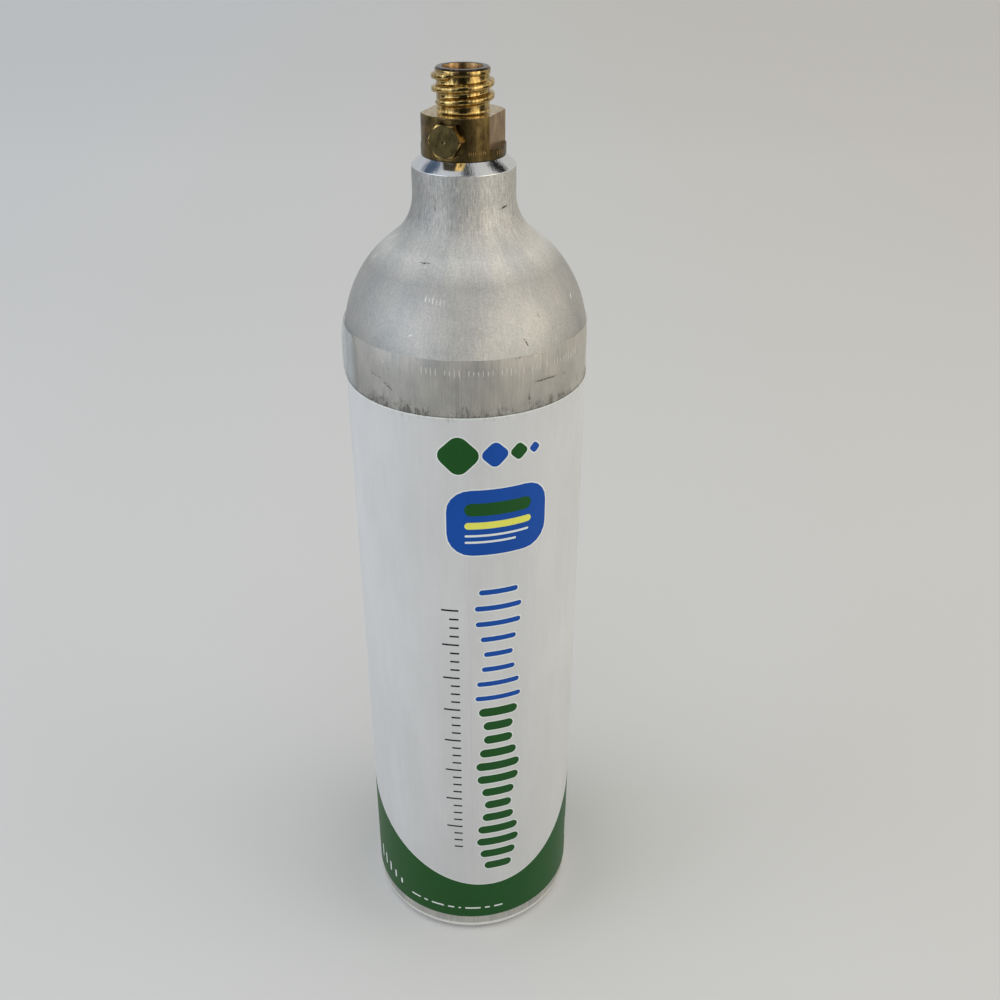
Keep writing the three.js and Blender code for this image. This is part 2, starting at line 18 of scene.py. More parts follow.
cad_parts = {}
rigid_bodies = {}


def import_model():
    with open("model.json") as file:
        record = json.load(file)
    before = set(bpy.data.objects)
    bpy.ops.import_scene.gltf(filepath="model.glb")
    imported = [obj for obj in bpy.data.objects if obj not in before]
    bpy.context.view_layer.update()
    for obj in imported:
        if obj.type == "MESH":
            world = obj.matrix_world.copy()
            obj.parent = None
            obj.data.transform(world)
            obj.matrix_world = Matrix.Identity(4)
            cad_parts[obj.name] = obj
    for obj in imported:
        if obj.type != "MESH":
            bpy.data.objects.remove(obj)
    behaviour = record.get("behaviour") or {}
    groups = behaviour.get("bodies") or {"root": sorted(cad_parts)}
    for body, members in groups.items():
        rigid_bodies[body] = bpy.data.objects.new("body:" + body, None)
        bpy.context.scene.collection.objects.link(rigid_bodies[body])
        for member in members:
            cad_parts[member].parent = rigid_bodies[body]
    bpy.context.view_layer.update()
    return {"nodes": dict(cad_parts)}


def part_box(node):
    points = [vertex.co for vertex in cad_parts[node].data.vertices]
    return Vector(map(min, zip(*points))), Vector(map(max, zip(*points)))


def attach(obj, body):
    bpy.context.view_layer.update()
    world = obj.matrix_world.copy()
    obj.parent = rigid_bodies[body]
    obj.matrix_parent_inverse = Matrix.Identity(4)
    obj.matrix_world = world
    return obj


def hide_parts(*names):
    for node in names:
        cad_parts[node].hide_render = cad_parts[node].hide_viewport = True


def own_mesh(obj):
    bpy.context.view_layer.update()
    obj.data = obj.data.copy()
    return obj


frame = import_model()

# %% [markdown]
# ## Sizes
# Blender works in metres and a workshop thinks in millimetres. Sizes here are written in millimetres and
# turned to metres once, when a mesh is made. What the frame can tell is read from it, so that a longer
# cylinder would get a longer print and a higher valve without a change below.

# %% Sizes from the frame
MM = 0.001


def corners(node):
    """Lowest and highest corner of a node, in millimetres."""
    low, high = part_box(node)
    return low / MM, high / MM


shell_high = corners("cylinder_shell")[1]
film_low, film_high = corners("label_sleeve")
valve_low, valve_high = corners("valve_body")
SHELL_RADIUS = shell_high.x
NECK_TOP = shell_high.z
FILM_RADIUS = film_high.x
FILM_BOTTOM = film_low.z
FILM_TOP = film_high.z
COLLAR_RADIUS = valve_high.x
VALVE_TOP = valve_high.z
print(f"shell radius {SHELL_RADIUS:.1f}, neck top {NECK_TOP:.1f}, film {FILM_BOTTOM:.1f} to {FILM_TOP:.1f}")

# %% [markdown]
# ## Camera
# The cylinder is seen from a little above, as it stands on a table in front of someone. A camera can be
# aimed with a Track To constraint, but three plain turns are exact and easy to change: tilt, then pan,
# then roll.

# %% Camera
CAMERA_BACK = 375.5
CAMERA_HEIGHT = 418.6
CAMERA_LENS = 39.47
CAMERA_TILT = math.radians(30.187)
CAMERA_PAN = math.radians(1.919)
CAMERA_ROLL = math.radians(0.214)

camera = bpy.data.objects.new("camera", bpy.data.cameras.new("camera"))
bpy.context.scene.collection.objects.link(camera)
camera.data.lens = CAMERA_LENS
level = math.pi / 2
aim = Matrix.Rotation(-CAMERA_PAN, 4, "Z") @ Matrix.Rotation(level - CAMERA_TILT, 4, "X")
aim = aim @ Matrix.Rotation(CAMERA_ROLL, 4, "Z")
camera.matrix_world = Matrix.Translation(Vector((0, -CAMERA_BACK, CAMERA_HEIGHT)) * MM) @ aim
bpy.context.scene.camera = camera
print("camera lens", CAMERA_LENS, "mm, height", CAMERA_HEIGHT, "mm")

# %% [markdown]
# ## Two small tools for nodes and colours
# Materials and Geometry Nodes are both trees of nodes, so one function that adds a node, sets it and
# links it serves them all. Colours are written as the hex codes that any paint program shows, which are
# gamma-encoded, so one more function turns them into the linear values that a renderer adds and
# multiplies.


# %% Node and colour helpers
def linear(code):
    """An sRGB hex colour as linear red, green, blue and alpha."""
    shares = [int(code[i : i + 2], 16) / 255 for i in (1, 3, 5)]
    return [s / 12.92 if s <= 0.04045 else ((s + 0.055) / 1.055) ** 2.4 for s in shares] + [1.0]


def live(sockets, key):
    """A socket by place or name: some nodes hide a socket of the same name for each data type."""
    if isinstance(key, int):
        return sockets[key]
    return next(s for s in sockets if s.name == key and s.enabled)


def connect(tree, value, socket):
    """Sets a socket to a value, or links it to a socket or to a node's first live output."""
    if isinstance(value, bpy.types.Node):
        value = next(s for s in value.outputs if s.enabled)
    if isinstance(value, bpy.types.NodeSocket):
        tree.links.new(value, socket)
    else:
        socket.default_value = value


def add_node(tree, kind, inputs=(), **settings):
    """Adds a node, with its inputs listed in order or by name."""
    node = tree.nodes.new(kind)
    for name, value in settings.items():
        setattr(node, name, value)
    for key, value in inputs.items() if isinstance(inputs, dict) else enumerate(inputs):
        connect(tree, value, live(node.inputs, key))
    return node


def new_material(name, **values):
    """A material with one Principled shader, on which values that are the same all over are set."""
    material = bpy.data.materials.new(name)
    material.use_nodes = True
    shader = material.node_tree.nodes["Principled BSDF"]
    for key, value in values.items():
        shader.inputs[key.replace("_", " ").title().replace("Ior", "IOR")].default_value = value
    return material, material.node_tree, shader


# %% [markdown]
# ## Patterns that follow a turned shape
# Spinning and polishing leave marks that run round the axis or along it. Coordinates made of the
# direction from the axis and the height give such marks without a seam at the back, where an unwrapped
# angle would jump. Each pattern is asked for by the width and the height of its marks in millimetres. On
# a face square to the axis the height stands still and only wedges would show, so there the radius can be
# mixed in, which gives rings.


# %% Patterns and places
def place_in_mm(tree):
    """Where a point lies on its piece, in millimetres."""
    place = add_node(tree, "ShaderNodeTexCoord").outputs["Object"]
    return add_node(tree, "ShaderNodeVectorMath", [place, (1 / MM, 1 / MM, 1 / MM)], operation="MULTIPLY")


def coordinates(tree):
    """That place as three numbers: to the right, to the back and up."""
    return list(add_node(tree, "ShaderNodeSeparateXYZ", [place_in_mm(tree)]).outputs)


def turned_pattern(tree, wide, tall, detail=4.0, rough=0.6, rings=0.0, radius=SHELL_RADIUS):
    """Noise whose marks have a width, at some radius, and a height. With rings the radius is mixed in."""
    place = place_in_mm(tree)
    level_part = add_node(tree, "ShaderNodeVectorMath", [place, (1, 1, 0)], operation="MULTIPLY")
    direction = add_node(tree, "ShaderNodeVectorMath", [level_part], operation="NORMALIZE")
    across = radius / wide
    spread = add_node(tree, "ShaderNodeVectorMath", [direction, (across, across, 0)], operation="MULTIPLY")
    distance = add_node(tree, "ShaderNodeVectorMath", [level_part], operation="LENGTH").outputs["Value"]
    outward = add_node(tree, "ShaderNodeMath", [distance, rings / tall], operation="MULTIPLY")
    ringed = add_node(tree, "ShaderNodeCombineXYZ", [0.0, 0.0, outward])
    upright = (0, 0, 1 / tall)
    rise = add_node(tree, "ShaderNodeVectorMath", [place, upright, ringed], operation="MULTIPLY_ADD")
    where = add_node(tree, "ShaderNodeVectorMath", [spread, rise], operation="ADD")
    inputs = {"Vector": where, "Scale": 1.0, "Detail": detail, "Roughness": rough}
    return add_node(tree, "ShaderNodeTexNoise", inputs)


def grain_pattern(tree, size, detail=3.0):
    """Noise that runs no special way, with grains of a size in millimetres."""
    inputs = {"Vector": place_in_mm(tree), "Scale": 1 / size, "Detail": detail, "Roughness": 0.6}
    return add_node(tree, "ShaderNodeTexNoise", inputs)


# %% [markdown]
# ## Steps of a finish
# A finish is built up in a few steps that come back in every material. A colour drifts to another, a
# pattern makes it paler and darker, a zone limits a step to one part of the piece, and at the end the
# shader gets its colour, its relief and its roughness. A noise pattern lies mostly between 0.3 and 0.7,
# so that is the range that most steps spread out.


# %% Steps of a finish
def drift(tree, value, low, high, first, second, most=1.0):
    """A colour that drifts from one to another, or part of the way, while a value goes from low to high."""
    share = add_node(tree, "ShaderNodeMapRange", [value, low, high, 0.0, most])
    return add_node(tree, "ShaderNodeMix", {"Factor": share, "A": first, "B": second}, data_type="RGBA")


def toned(tree, colour, value, low, high, at_low, at_high):
    """A colour times a factor that goes from one number to another while a value goes from low to high."""
    factor = add_node(tree, "ShaderNodeMapRange", [value, low, high, at_low, at_high])
    first = colour[:3] if isinstance(colour, list) else colour
    return add_node(tree, "ShaderNodeVectorMath", [first, factor], operation="MULTIPLY")


def zone(tree, first_ramp, second_ramp):
    """The product of two ramps: a value, its low and high end, and what they give where not 0 and 1."""
    first = add_node(tree, "ShaderNodeMapRange", first_ramp)
    second = add_node(tree, "ShaderNodeMapRange", second_ramp)
    return add_node(tree, "ShaderNodeMath", [first, second], operation="MULTIPLY")


def surface(tree, shader, colour, relief, strength, depth, *rough):
    """Gives a shader its colour, a relief of some depth in millimetres and, as a ramp, its roughness."""
    connect(tree, colour, shader.inputs["Base Color"])
    raised = {"Height": relief, "Strength": strength, "Distance": depth * MM}
    connect(tree, add_node(tree, "ShaderNodeBump", raised), shader.inputs["Normal"])
    if rough:
        connect(tree, add_node(tree, "ShaderNodeMapRange", rough), shader.inputs["Roughness"])


# %% [markdown]
# ## Wear
# A cylinder that goes back for refilling picks up nicks and scuffs. Noise gives an even scatter of them,
# but a few that are seen by eye should lie where they lie. Each is an ellipse: a Mapping node moves the
# pattern to the mark's centre, turns it and stretches it, and what is less than one away from there is
# inside the mark.

# %% Marks at chosen places
MARK_GRAIN = 0.7143
MARK_DEPTH = 3
Mark = namedtuple("Mark", "angle radius height length width tilt")


def on_cylinder(angle, radius, height):
    """A point at an angle from the front, in degrees and positive to the right."""
    turn = math.radians(angle)
    return Vector((radius * math.sin(turn), -radius * math.cos(turn), height))


def mark_mask(tree, marks, ragged=0.5):
    """One inside any of the marks and zero outside, with a ragged edge."""
    place = place_in_mm(tree)
    grain = grain_pattern(tree, MARK_GRAIN, detail=2.0)
    total = 0.0
    for mark in marks:
        inputs = {
            "Vector": place,
            "Location": on_cylinder(mark.angle, mark.radius, mark.height),
            "Rotation": (0, math.radians(mark.tilt), math.radians(mark.angle)),
            "Scale": (mark.length / 2, MARK_DEPTH, mark.width / 2),
        }
        centred = add_node(tree, "ShaderNodeMapping", inputs, vector_type="TEXTURE")
        away = add_node(tree, "ShaderNodeVectorMath", [centred], operation="LENGTH").outputs["Value"]
        edge = add_node(tree, "ShaderNodeMath", [grain, 4 * ragged, away], operation="MULTIPLY_ADD")
        inside = add_node(tree, "ShaderNodeMapRange", [edge, 1 + 2 * ragged, 0.6 + 1.4 * ragged])
        total = add_node(tree, "ShaderNodeMath", [inside, total], operation="MAXIMUM")
    return total


# %% [markdown]
# ## Aluminium
# The bottle is aluminium alloy 6061. A press draws it to a cup with a straight wall, a roller spins the
# open end to a dome and a neck, and an etch leaves it satin grey. Light spreads wide on it, so its
# roughness is high for a metal. Etching leaves soft clouds a finger wide, drawing leaves fine streaks
# along it, and years of use add specks and rubbed places. So the one metal has five finishes here: spun
# and etched on the dome, drawn on the wall, faced on the neck's chamfer, brushed on the foot, and struck
# where a punch threw it up. Some light and shade is painted in as well: a painted highlight round the
# neck's root and on the low front of the dome, painted shade on the dome's sides and at the neck's left,
# a painted glint on the shoulder, and a paler tone on the wall and the foot that is partly painted light.

# %% Aluminium finishes
NECK_RADIUS = 17.7
DARK_MARKS = [
    Mark(48, 17.7, 319.6, 4.6, 0.7, -6),
    Mark(-33, 17.7, 320.0, 0.8, 2.2, 0),
    Mark(-33, 17.7, 323.0, 0.5, 1.4, 0),
    Mark(-28, 28.1, 304.8, 4.4, 0.5, -5),
    Mark(28, 42.4, 281.6, 0.5, 4.4, -28),
    Mark(37, 40.0, 288.9, 0.3, 2.4, -24),
]
# Pale scratches and nicks, and one painted glint.
PALE_MARKS = [
    Mark(-83, 25.2, 307.1, 6.0, 0.8, -40),
    Mark(-79, 32.0, 301.2, 4.0, 0.6, -50),
    Mark(27, 31.0, 302.2, 1.2, 0.8, 0),
    Mark(66, 39.4, 290.2, 0.8, 3.2, 30),
    Mark(-21, 36.6, 295.6, 0.4, 2.6, 0),
    Mark(-19, 36.6, 295.4, 0.4, 1.5, 0),
    Mark(-17, 36.6, 295.4, 0.5, 2.6, 0),
    Mark(-15, 36.6, 295.2, 0.4, 1.7, 0),
    Mark(-13, 36.6, 295.1, 0.5, 2.5, 0),
    Mark(-11, 36.6, 295.0, 0.4, 2.2, 0),
    # Painted glint: this pale mark stands in for a highlight on the shoulder.
    Mark(-26, 41.6, 284.6, 2.4, 0.4, -30),
]
# Heights and places to the side between which a patch comes on: the neck's fine lines, and painted highlight
# and painted shade.
NECK_LINES = (306, 315)
NECK_ROOT_HIGHLIGHT_ABOVE, NECK_ROOT_HIGHLIGHT_BELOW = (299, 305), (314, 306)
LOW_DOME_LIGHT, LOW_DOME_LIGHT_FRONT = (300, 278), (8, 34)
SIDE_SHADE_LEFT, SIDE_SHADE_RIGHT = (-34, 4), (8, 34)
NECK_SHADE_HEIGHTS, NECK_SHADE_SIDE = (306, 316), (0, -14)


def spun_aluminium():
    """Satin, etched skin: clouds, streaks and grain, a neck rubbed in fine lines, and nicks; and a painted
    highlight round the neck's root and on the low front of the dome, painted shade on the sides and at the
    neck's left, and a painted glint.
    """
    material, tree, shader = new_material("spun aluminium, etched", metallic=1.0)
    across, _, height = coordinates(tree)
    aside = add_node(tree, "ShaderNodeMath", [across], operation="ABSOLUTE")
    clouds = turned_pattern(tree, 14.533, 20, detail=7.0, rough=0.7)
    streaks = turned_pattern(tree, 0.7267, 4.348, detail=6.0, rough=0.72)
    lines = turned_pattern(tree, 0.7267, 3.0303, detail=8.0, rough=0.8)
    grain = grain_pattern(tree, 0.5882)
    tone = drift(tree, clouds, 0.34, 0.66, linear("#BBBCBA"), linear("#CDCBC6"))
    streaked = toned(tree, tone, streaks, 0.34, 0.66, 0.88, 1.07)
    grained = toned(tree, streaked, grain, 0.32, 0.68, 0.88, 1.1)
    lined = toned(tree, grained, lines, 0.34, 0.66, 0.56, 1.42)
    necked = drift(tree, height, *NECK_LINES, grained, lined, most=0.9)
    # Painted highlight: a band round the neck's root, where the hollow fillet mirrors the light above, is
    # made lighter.
    neck_root_highlight = zone(tree, (height, *NECK_ROOT_HIGHLIGHT_ABOVE), (height, *NECK_ROOT_HIGHLIGHT_BELOW))
    with_neck_root_highlight = toned(tree, necked, neck_root_highlight, 0.0, 1.0, 1.0, 1.46)
    # Painted light: cleaner makes the low front of the dome lighter and its low sides a little darker.
    low_front_light = zone(tree, (height, *LOW_DOME_LIGHT), (aside, *LOW_DOME_LIGHT_FRONT, 0.2, -0.08))
    cleaner = toned(tree, with_neck_root_highlight, low_front_light, -0.1, 0.2, 0.9, 1.26)
    # Painted shade: the left and the right of the piece are made darker.
    sides_shaded = toned(tree, cleaner, across, *SIDE_SHADE_LEFT, 0.8, 1.0)
    sides_shaded = toned(tree, sides_shaded, across, *SIDE_SHADE_RIGHT, 1.0, 0.88)
    # Painted shade: greyed darkens the neck's left side.
    greyed = zone(tree, (height, *NECK_SHADE_HEIGHTS), (across, *NECK_SHADE_SIDE, 0.0, 0.22))
    with_painted_shade = toned(tree, sides_shaded, greyed, 0.0, 1.0, 1.0, 0.0)
    dark = drift(tree, mark_mask(tree, DARK_MARKS, 0.8), 0.0, 1.0, with_painted_shade, linear("#3B3A38"))
    nicks_and_glint = drift(tree, mark_mask(tree, PALE_MARKS), 0.0, 1.0, dark, linear("#F0F0EE"))
    relief = add_node(tree, "ShaderNodeMath", [lines, grain], operation="ADD")
    surface(tree, shader, nicks_and_glint, relief, 0.5, 0.1, streaks, 0.3, 0.7, 0.55, 0.7)
    return material


def drawn_aluminium():
    """The straight wall under the film: paler than the dome, partly as painted light, with the die's fine
    upright lines.
    """
    material, tree, shader = new_material("drawn aluminium", metallic=1.0)
    lines = turned_pattern(tree, 0.4844, 16.667, detail=6.0, rough=0.75)
    clouds = turned_pattern(tree, 8.72, 11.111, detail=5.0, rough=0.65)
    tone = drift(tree, clouds, 0.34, 0.66, linear("#BABAB7"), linear("#D2CFC8"))
    lined = toned(tree, tone, lines, 0.32, 0.68, 0.8, 1.12)
    surface(tree, shader, lined, lines, 0.5, 0.1, clouds, 0.3, 0.7, 0.5, 0.62)
    return material


def faced_aluminium():
    """The chamfer that a lathe tool cut last: a mirror, smeared a little across the tool's fine rings."""
    material, tree, shader = new_material("aluminium, faced on a lathe", metallic=1.0, anisotropic=0.5)
    shader.inputs["Anisotropic Rotation"].default_value = 0.25
    round_axis = add_node(tree, "ShaderNodeTangent", direction_type="RADIAL", axis="Z")
    connect(tree, round_axis, shader.inputs["Tangent"])
    waves = turned_pattern(tree, 1.2643, 3.8462, detail=6.0, rough=0.7, radius=NECK_RADIUS)
    surface(tree, shader, linear("#CED0D2"), waves, 0.35, 0.2, waves, 0.35, 0.7, 0.05, 0.14)
    return material


def brushed_aluminium():
    """The foot, which a belt dressed bright and which still has a thin cloudy skin. Its near-white, half-matt
    colour is partly painted light.
    """
    material, tree, shader = new_material("aluminium, brushed", metallic=0.7, roughness=0.38)
    strokes = turned_pattern(tree, 0.7267, 1.4286, detail=5.0, rough=0.7, rings=2)
    surface(tree, shader, toned(tree, linear("#F2F2EE"), strokes, 0.32, 0.68, 0.84, 1.1), strokes, 0.4, 0.1)
    return material


def struck_aluminium():
    """Metal thrown up by a punch, cleaner and shinier than the skin round it."""
    return new_material("aluminium, struck", metallic=1.0, roughness=0.3, base_color=linear("#F2F2F0"))[0]


ALUMINIUM = spun_aluminium()
FACED_ALUMINIUM = faced_aluminium()
BRUSHED_ALUMINIUM = brushed_aluminium()
DRAWN_ALUMINIUM = drawn_aluminium()
STRUCK_ALUMINIUM = struck_aluminium()
print("finishes so far:", [m.name for m in bpy.data.materials if "aluminium" in m.name])

# %% [markdown]
# ## Turned shapes
# The bottle, the valve body and most small pieces are turned, so each is an outline carried round the
# axis. A Screw modifier would do it too, but a short function can also close the poles on the axis and
# round each sharp corner by a fraction of a millimetre, which is what makes a real edge catch the light.


# %% Outlines and the lathe
def arc(centre, rise, radius, start, end, steps, height=None):
    """Points on an arc about (centre, rise), with both ends; angles in degrees, from straight outwards."""
    height = radius if height is None else height
    angles = [math.radians(start + (end - start) * i / steps) for i in range(steps + 1)]
    return [(centre + radius * math.cos(a), rise + height * math.sin(a)) for a in angles]


def soften(outline, radius, sharpest=25, steps=3):
    """Rounds the corners of a closed outline that turn by more than some degrees, apart from the axis."""
    result = []
    for i, point in enumerate(outline):
        here = Vector(point)
        before, after = Vector(outline[i - 1]) - here, Vector(outline[(i + 1) % len(outline)]) - here
        turn = math.pi - before.angle(after, 0.0) if before.length and after.length else 0.0
        if point[0] < 1e-6 or turn < math.radians(sharpest):
            result.append(point)
            continue
        back = min(radius * math.tan(turn / 2), 0.4 * before.length, 0.4 * after.length)
        first, last = here + before.normalized() * back, here + after.normalized() * back
        for k in range(steps + 1):
            share = k / steps
            bend = first * (1 - share) ** 2 + here * 2 * share * (1 - share) + last * share**2
            result.append(tuple(bend))
    return result


def new_object(name, points, faces, materials=(), finishes=None):
    """A mesh object from points in millimetres, with a finish number for each face."""
    mesh = bpy.data.meshes.new(name)
    mesh.from_pydata([Vector(p) * MM for p in points], [], faces)
    for material in materials:
        mesh.materials.append(material)
    if finishes:
        mesh.polygons.foreach_set("material_index", finishes)
    made = bpy.data.objects.new(name, mesh)
    bpy.context.scene.collection.objects.link(made)
    return made


def lathe(name, outline, segments, materials=(), finish_at=None):
    """Turns a closed outline of (radius, height), listed anticlockwise, round the axis."""
    points, rings = [], []
    for radius, height in outline:
        if radius < 1e-6:
            rings.append([len(points)] * segments)
            points.append((0, 0, height))
            continue
        rings.append(range(len(points), len(points) + segments))
        for k in range(segments):
            turn = 2 * math.pi * k / segments
            points.append((radius * math.cos(turn), radius * math.sin(turn), height))
    faces, finishes = [], []
    for i, low in enumerate(rings):
        high = rings[(i + 1) % len(rings)]
        middle = [(a + b) / 2 for a, b in zip(outline[i], outline[(i + 1) % len(rings)])]
        finish = materials.index(finish_at(*middle)) if finish_at else 0
        for k in range(segments):
            face = list(dict.fromkeys([low[k], low[(k + 1) % segments], high[(k + 1) % segments], high[k]]))
            if len(face) > 2:
                faces.append(face)
                finishes.append(finish)
    return new_object(name, points, faces, materials, finishes)


def shade(piece, sharpest=30):
    """Smooth shading that stays crisp where faces meet at more than some degrees."""
    piece.data.shade_smooth()
    piece.data.set_sharp_from_angle(angle=math.radians(sharpest))
    return piece


# %% [markdown]
# ## Pressure shell
# One piece of metal from the concave base to the neck. Its shoulder is half a sphere, and a hollow fillet
# joins that to the neck, so the fillet's centre lies one radius off both. Which finish a face gets
# depends only on where the outline runs there: at the chamfer, on the dome, along the straight wall or at
# the foot.

# %% Pressure shell
SHELL_SEGMENTS = 240
SHELL_WALL = 4
SHELL_CORNER = 5
SHELL_EDGE = 0.3
FOOT_WIDTH = 7.5
FOOT_BRUSHED = 1
SPUN_FROM = FILM_TOP - 0.6
BASE_RECESS = 4
BASE_THICKNESS = 7
INNER_CORNER = 11
NECK_RISE = 63
INNER_DOME_RISE = 34
NECK_FILLET = 18
NECK_CHAMFER = 3.5
NECK_BORE = 9
GLAND_RADIUS = 11.6
GLAND_DEPTH = 2.7
STRAIGHT_TOP = NECK_TOP - NECK_RISE
FOOT_OUTER = SHELL_RADIUS - SHELL_CORNER
FOOT_INNER = FOOT_OUTER - FOOT_WIDTH


def shell_outline():
    """Up the outside from the base, over the neck and down the inside."""
    inner = SHELL_RADIUS - SHELL_WALL
    floor_height = BASE_RECESS + BASE_THICKNESS
    base_radius = (FOOT_INNER**2 + BASE_RECESS**2) / (2 * BASE_RECESS)
    base_half = math.degrees(math.asin(FOOT_INNER / base_radius))
    across, reach = NECK_RADIUS + NECK_FILLET, SHELL_RADIUS + NECK_FILLET
    meeting = math.degrees(math.acos(across / reach))
    fillet_height = STRAIGHT_TOP + math.sqrt(reach**2 - across**2)
    inner_end = math.degrees(math.acos(NECK_BORE / inner))
    return [
        *arc(0, BASE_RECESS - base_radius, base_radius, 90, 90 - base_half, 10),
        *arc(FOOT_OUTER, SHELL_CORNER, SHELL_CORNER, -90, 0, 12),
        *arc(0, STRAIGHT_TOP, SHELL_RADIUS, 0, meeting, 40),
        *arc(across, fillet_height, NECK_FILLET, 180 + meeting, 180, 16)[1:],
        (NECK_RADIUS, NECK_TOP - NECK_CHAMFER),
        (NECK_RADIUS - NECK_CHAMFER, NECK_TOP),
        (GLAND_RADIUS, NECK_TOP),
        (GLAND_RADIUS, NECK_TOP - GLAND_DEPTH),
        (NECK_BORE, NECK_TOP - GLAND_DEPTH),
        *arc(0, STRAIGHT_TOP, inner, inner_end, 0, 16, INNER_DOME_RISE),
        *arc(inner - INNER_CORNER, floor_height + INNER_CORNER, INNER_CORNER, 0, -90, 8),
        (0, floor_height),
    ]


def shell_finish(radius, height):
    """Faced at the neck's top, spun on the dome and the base, drawn on the wall, brushed at the foot."""
    if height > NECK_TOP - NECK_CHAMFER - 0.1 and radius > GLAND_RADIUS:
        return FACED_ALUMINIUM
    if height < BASE_RECESS and radius < FOOT_INNER:
        return ALUMINIUM
    if height < FILM_BOTTOM + FOOT_BRUSHED:
        return BRUSHED_ALUMINIUM
    return DRAWN_ALUMINIUM if height < SPUN_FROM else ALUMINIUM


METALS = [ALUMINIUM, FACED_ALUMINIUM, BRUSHED_ALUMINIUM, DRAWN_ALUMINIUM]
shell = lathe("shell", soften(shell_outline(), SHELL_EDGE), SHELL_SEGMENTS, METALS, shell_finish)
shade(shell)
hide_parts("cylinder_shell")
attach(shell, "cylinder")
print("shell:", len(shell.data.polygons), "faces")

# %% [markdown]
# ## Print
# The wrap is a clear polymer film printed from behind: a white ground, a green band whose upper edge is a
# shallow wave, and coloured motifs with a pale outline. The motifs are plain ones: a row of tiles, a
# panel of bars, a column of level bars and a rule. A texture could hold them, but it would blur up close.
# Instead the film is laid out flat, every outline is cut into it, each face takes the ink it lies in, and
# the sheet is then rolled round the bottle. One list of rounded rectangles describes every motif, since a
# circle or a bar with round ends is only a rounded rectangle with a large corner.

# %% Motifs on the flat film
Shape = namedtuple("Shape", "ink arc height width tall corner tilt outline")
WHITE, GREEN, BLUE, YELLOW, BLACK, PALE = range(6)
PRINT_TOP = FILM_TOP - 20.4
OUTLINE = 0.45

BAND_LOWEST = 30
BAND_SWING = 40
BAND_LEAN = 8
BAND_TURN = math.radians(10)
BAND_CLEAR = 9

TILE_HEIGHT = 243
PANEL_MIDDLE = (11, 216)
PANEL_SIZE = (38, 27)
PANEL_CORNER = 9
PANEL_BAR = 25
BAR_COUNT = 21
BAR_PITCH = 7.2
BAR_MIDDLE = 11
BAR_TOP = 186
BAR_LENGTH, BAR_SWELL, BAR_WAVE = 15, 3.5, 1.15
BLUE_BARS = 8
TICK_COUNT = 32
TICK_PITCH = 4
TICK_EDGE = -4.2
TICK_TOP = 178
LONG_TICK, SHORT_TICK, TICK_THICK = 6.6, 3.6, 0.8
DASHES = (5, 2, 6, 3, 1.2, 7, 2.4, 4)
DASH_GAP = 1.8
BACK_SHIFT = -112


def band_edge(arc_length):
    """Height of the green band's upper edge at a distance round the film from the front."""
    turn = arc_length / FILM_RADIUS - BAND_TURN
    return BAND_LOWEST + (BAND_SWING + BAND_LEAN * math.sin(turn)) * (1 - math.cos(turn))


def tile_row():
    """Tiles that shrink to the right, standing on their corners."""
    steps = [(GREEN, -3.4, 12.4), (BLUE, 9.6, 8.0), (GREEN, 18.4, 5.4), (BLUE, 24.6, 3.4)]
    return [
        Shape(ink, across, TILE_HEIGHT, side, side, 0.3 * side, 45, OUTLINE) for ink, across, side in steps
    ]


def panel():
    """A blue panel with bars of different weights, which start at one edge."""
    across, middle = PANEL_MIDDLE
    bars = [(GREEN, 5.6, 25, 5.2), (YELLOW, -1.0, 25, 2.8), (PALE, -5.2, 24, 0.9), (PALE, -7.9, 19, 0.9)]
    shapes = [Shape(BLUE, across, middle, *PANEL_SIZE, PANEL_CORNER, 0, OUTLINE)]
    for ink, up, wide, tall in bars:
        shapes.append(Shape(ink, across + (wide - PANEL_BAR) / 2, middle + up, wide, tall, tall / 2, 0, 0))
    return shapes


def level_bars(shift=0):
    """A column of bars whose length rises and falls, thin and blue above, thick and green below."""
    bars = []
    for i in range(BAR_COUNT):
        ink, thick = (BLUE, 2.3) if i < BLUE_BARS else (GREEN, 4.3)
        long = BAR_LENGTH + BAR_SWELL * math.sin(BAR_WAVE * i)
        height = BAR_TOP - BAR_PITCH * i
        bars.append(Shape(ink, BAR_MIDDLE + shift, height, long, thick, thick / 2, 0, OUTLINE))
    return bars


def rule(shift=0):
    """A black rule with a longer tick at every fourth."""
    ticks = []
    for i in range(TICK_COUNT):
        long = SHORT_TICK if i % 4 else LONG_TICK
        middle = TICK_EDGE + shift - long / 2
        ticks.append(Shape(BLACK, middle, TICK_TOP - TICK_PITCH * i, long, TICK_THICK, TICK_THICK / 4, 0, 0))
    return ticks


def band_marks():
    """Pale bars and dashes on the green band."""
    bars = [Shape(PALE, -54 + 4.4 * i, 21.5 - 0.9 * i, 1.1, 8 - 1.2 * i, 0.5, 0, 0) for i in range(5)]
    pair = [Shape(PALE, across, 28, 1.1, tall, 0.5, 0, 0) for across, tall in ((60, 12), (64, 8))]
    dashes, start = [], -30
    for long in DASHES:
        dashes.append(Shape(PALE, start + long / 2, 15.2, long, 0.9, 0.45, 0, 0))
        start += long + DASH_GAP
    return bars + dashes + pair


def above_band(shapes):
    """Those of some shapes that lie clear of the green band."""
    return [s for s in shapes if s.height > band_edge(s.arc) + BAND_CLEAR]


behind = above_band(level_bars(BACK_SHIFT) + rule(BACK_SHIFT))
motifs = tile_row() + panel() + level_bars() + rule() + band_marks() + behind
print("motifs on the film:", len(motifs))

# %% [markdown]
# Two questions are asked of each rounded rectangle: which points draw its edge, and how far a point lies
# from that edge. The first gives the cuts, the second tells which ink a face gets. Asking the second with
# the outline's width added gives the pale border at no extra cost.


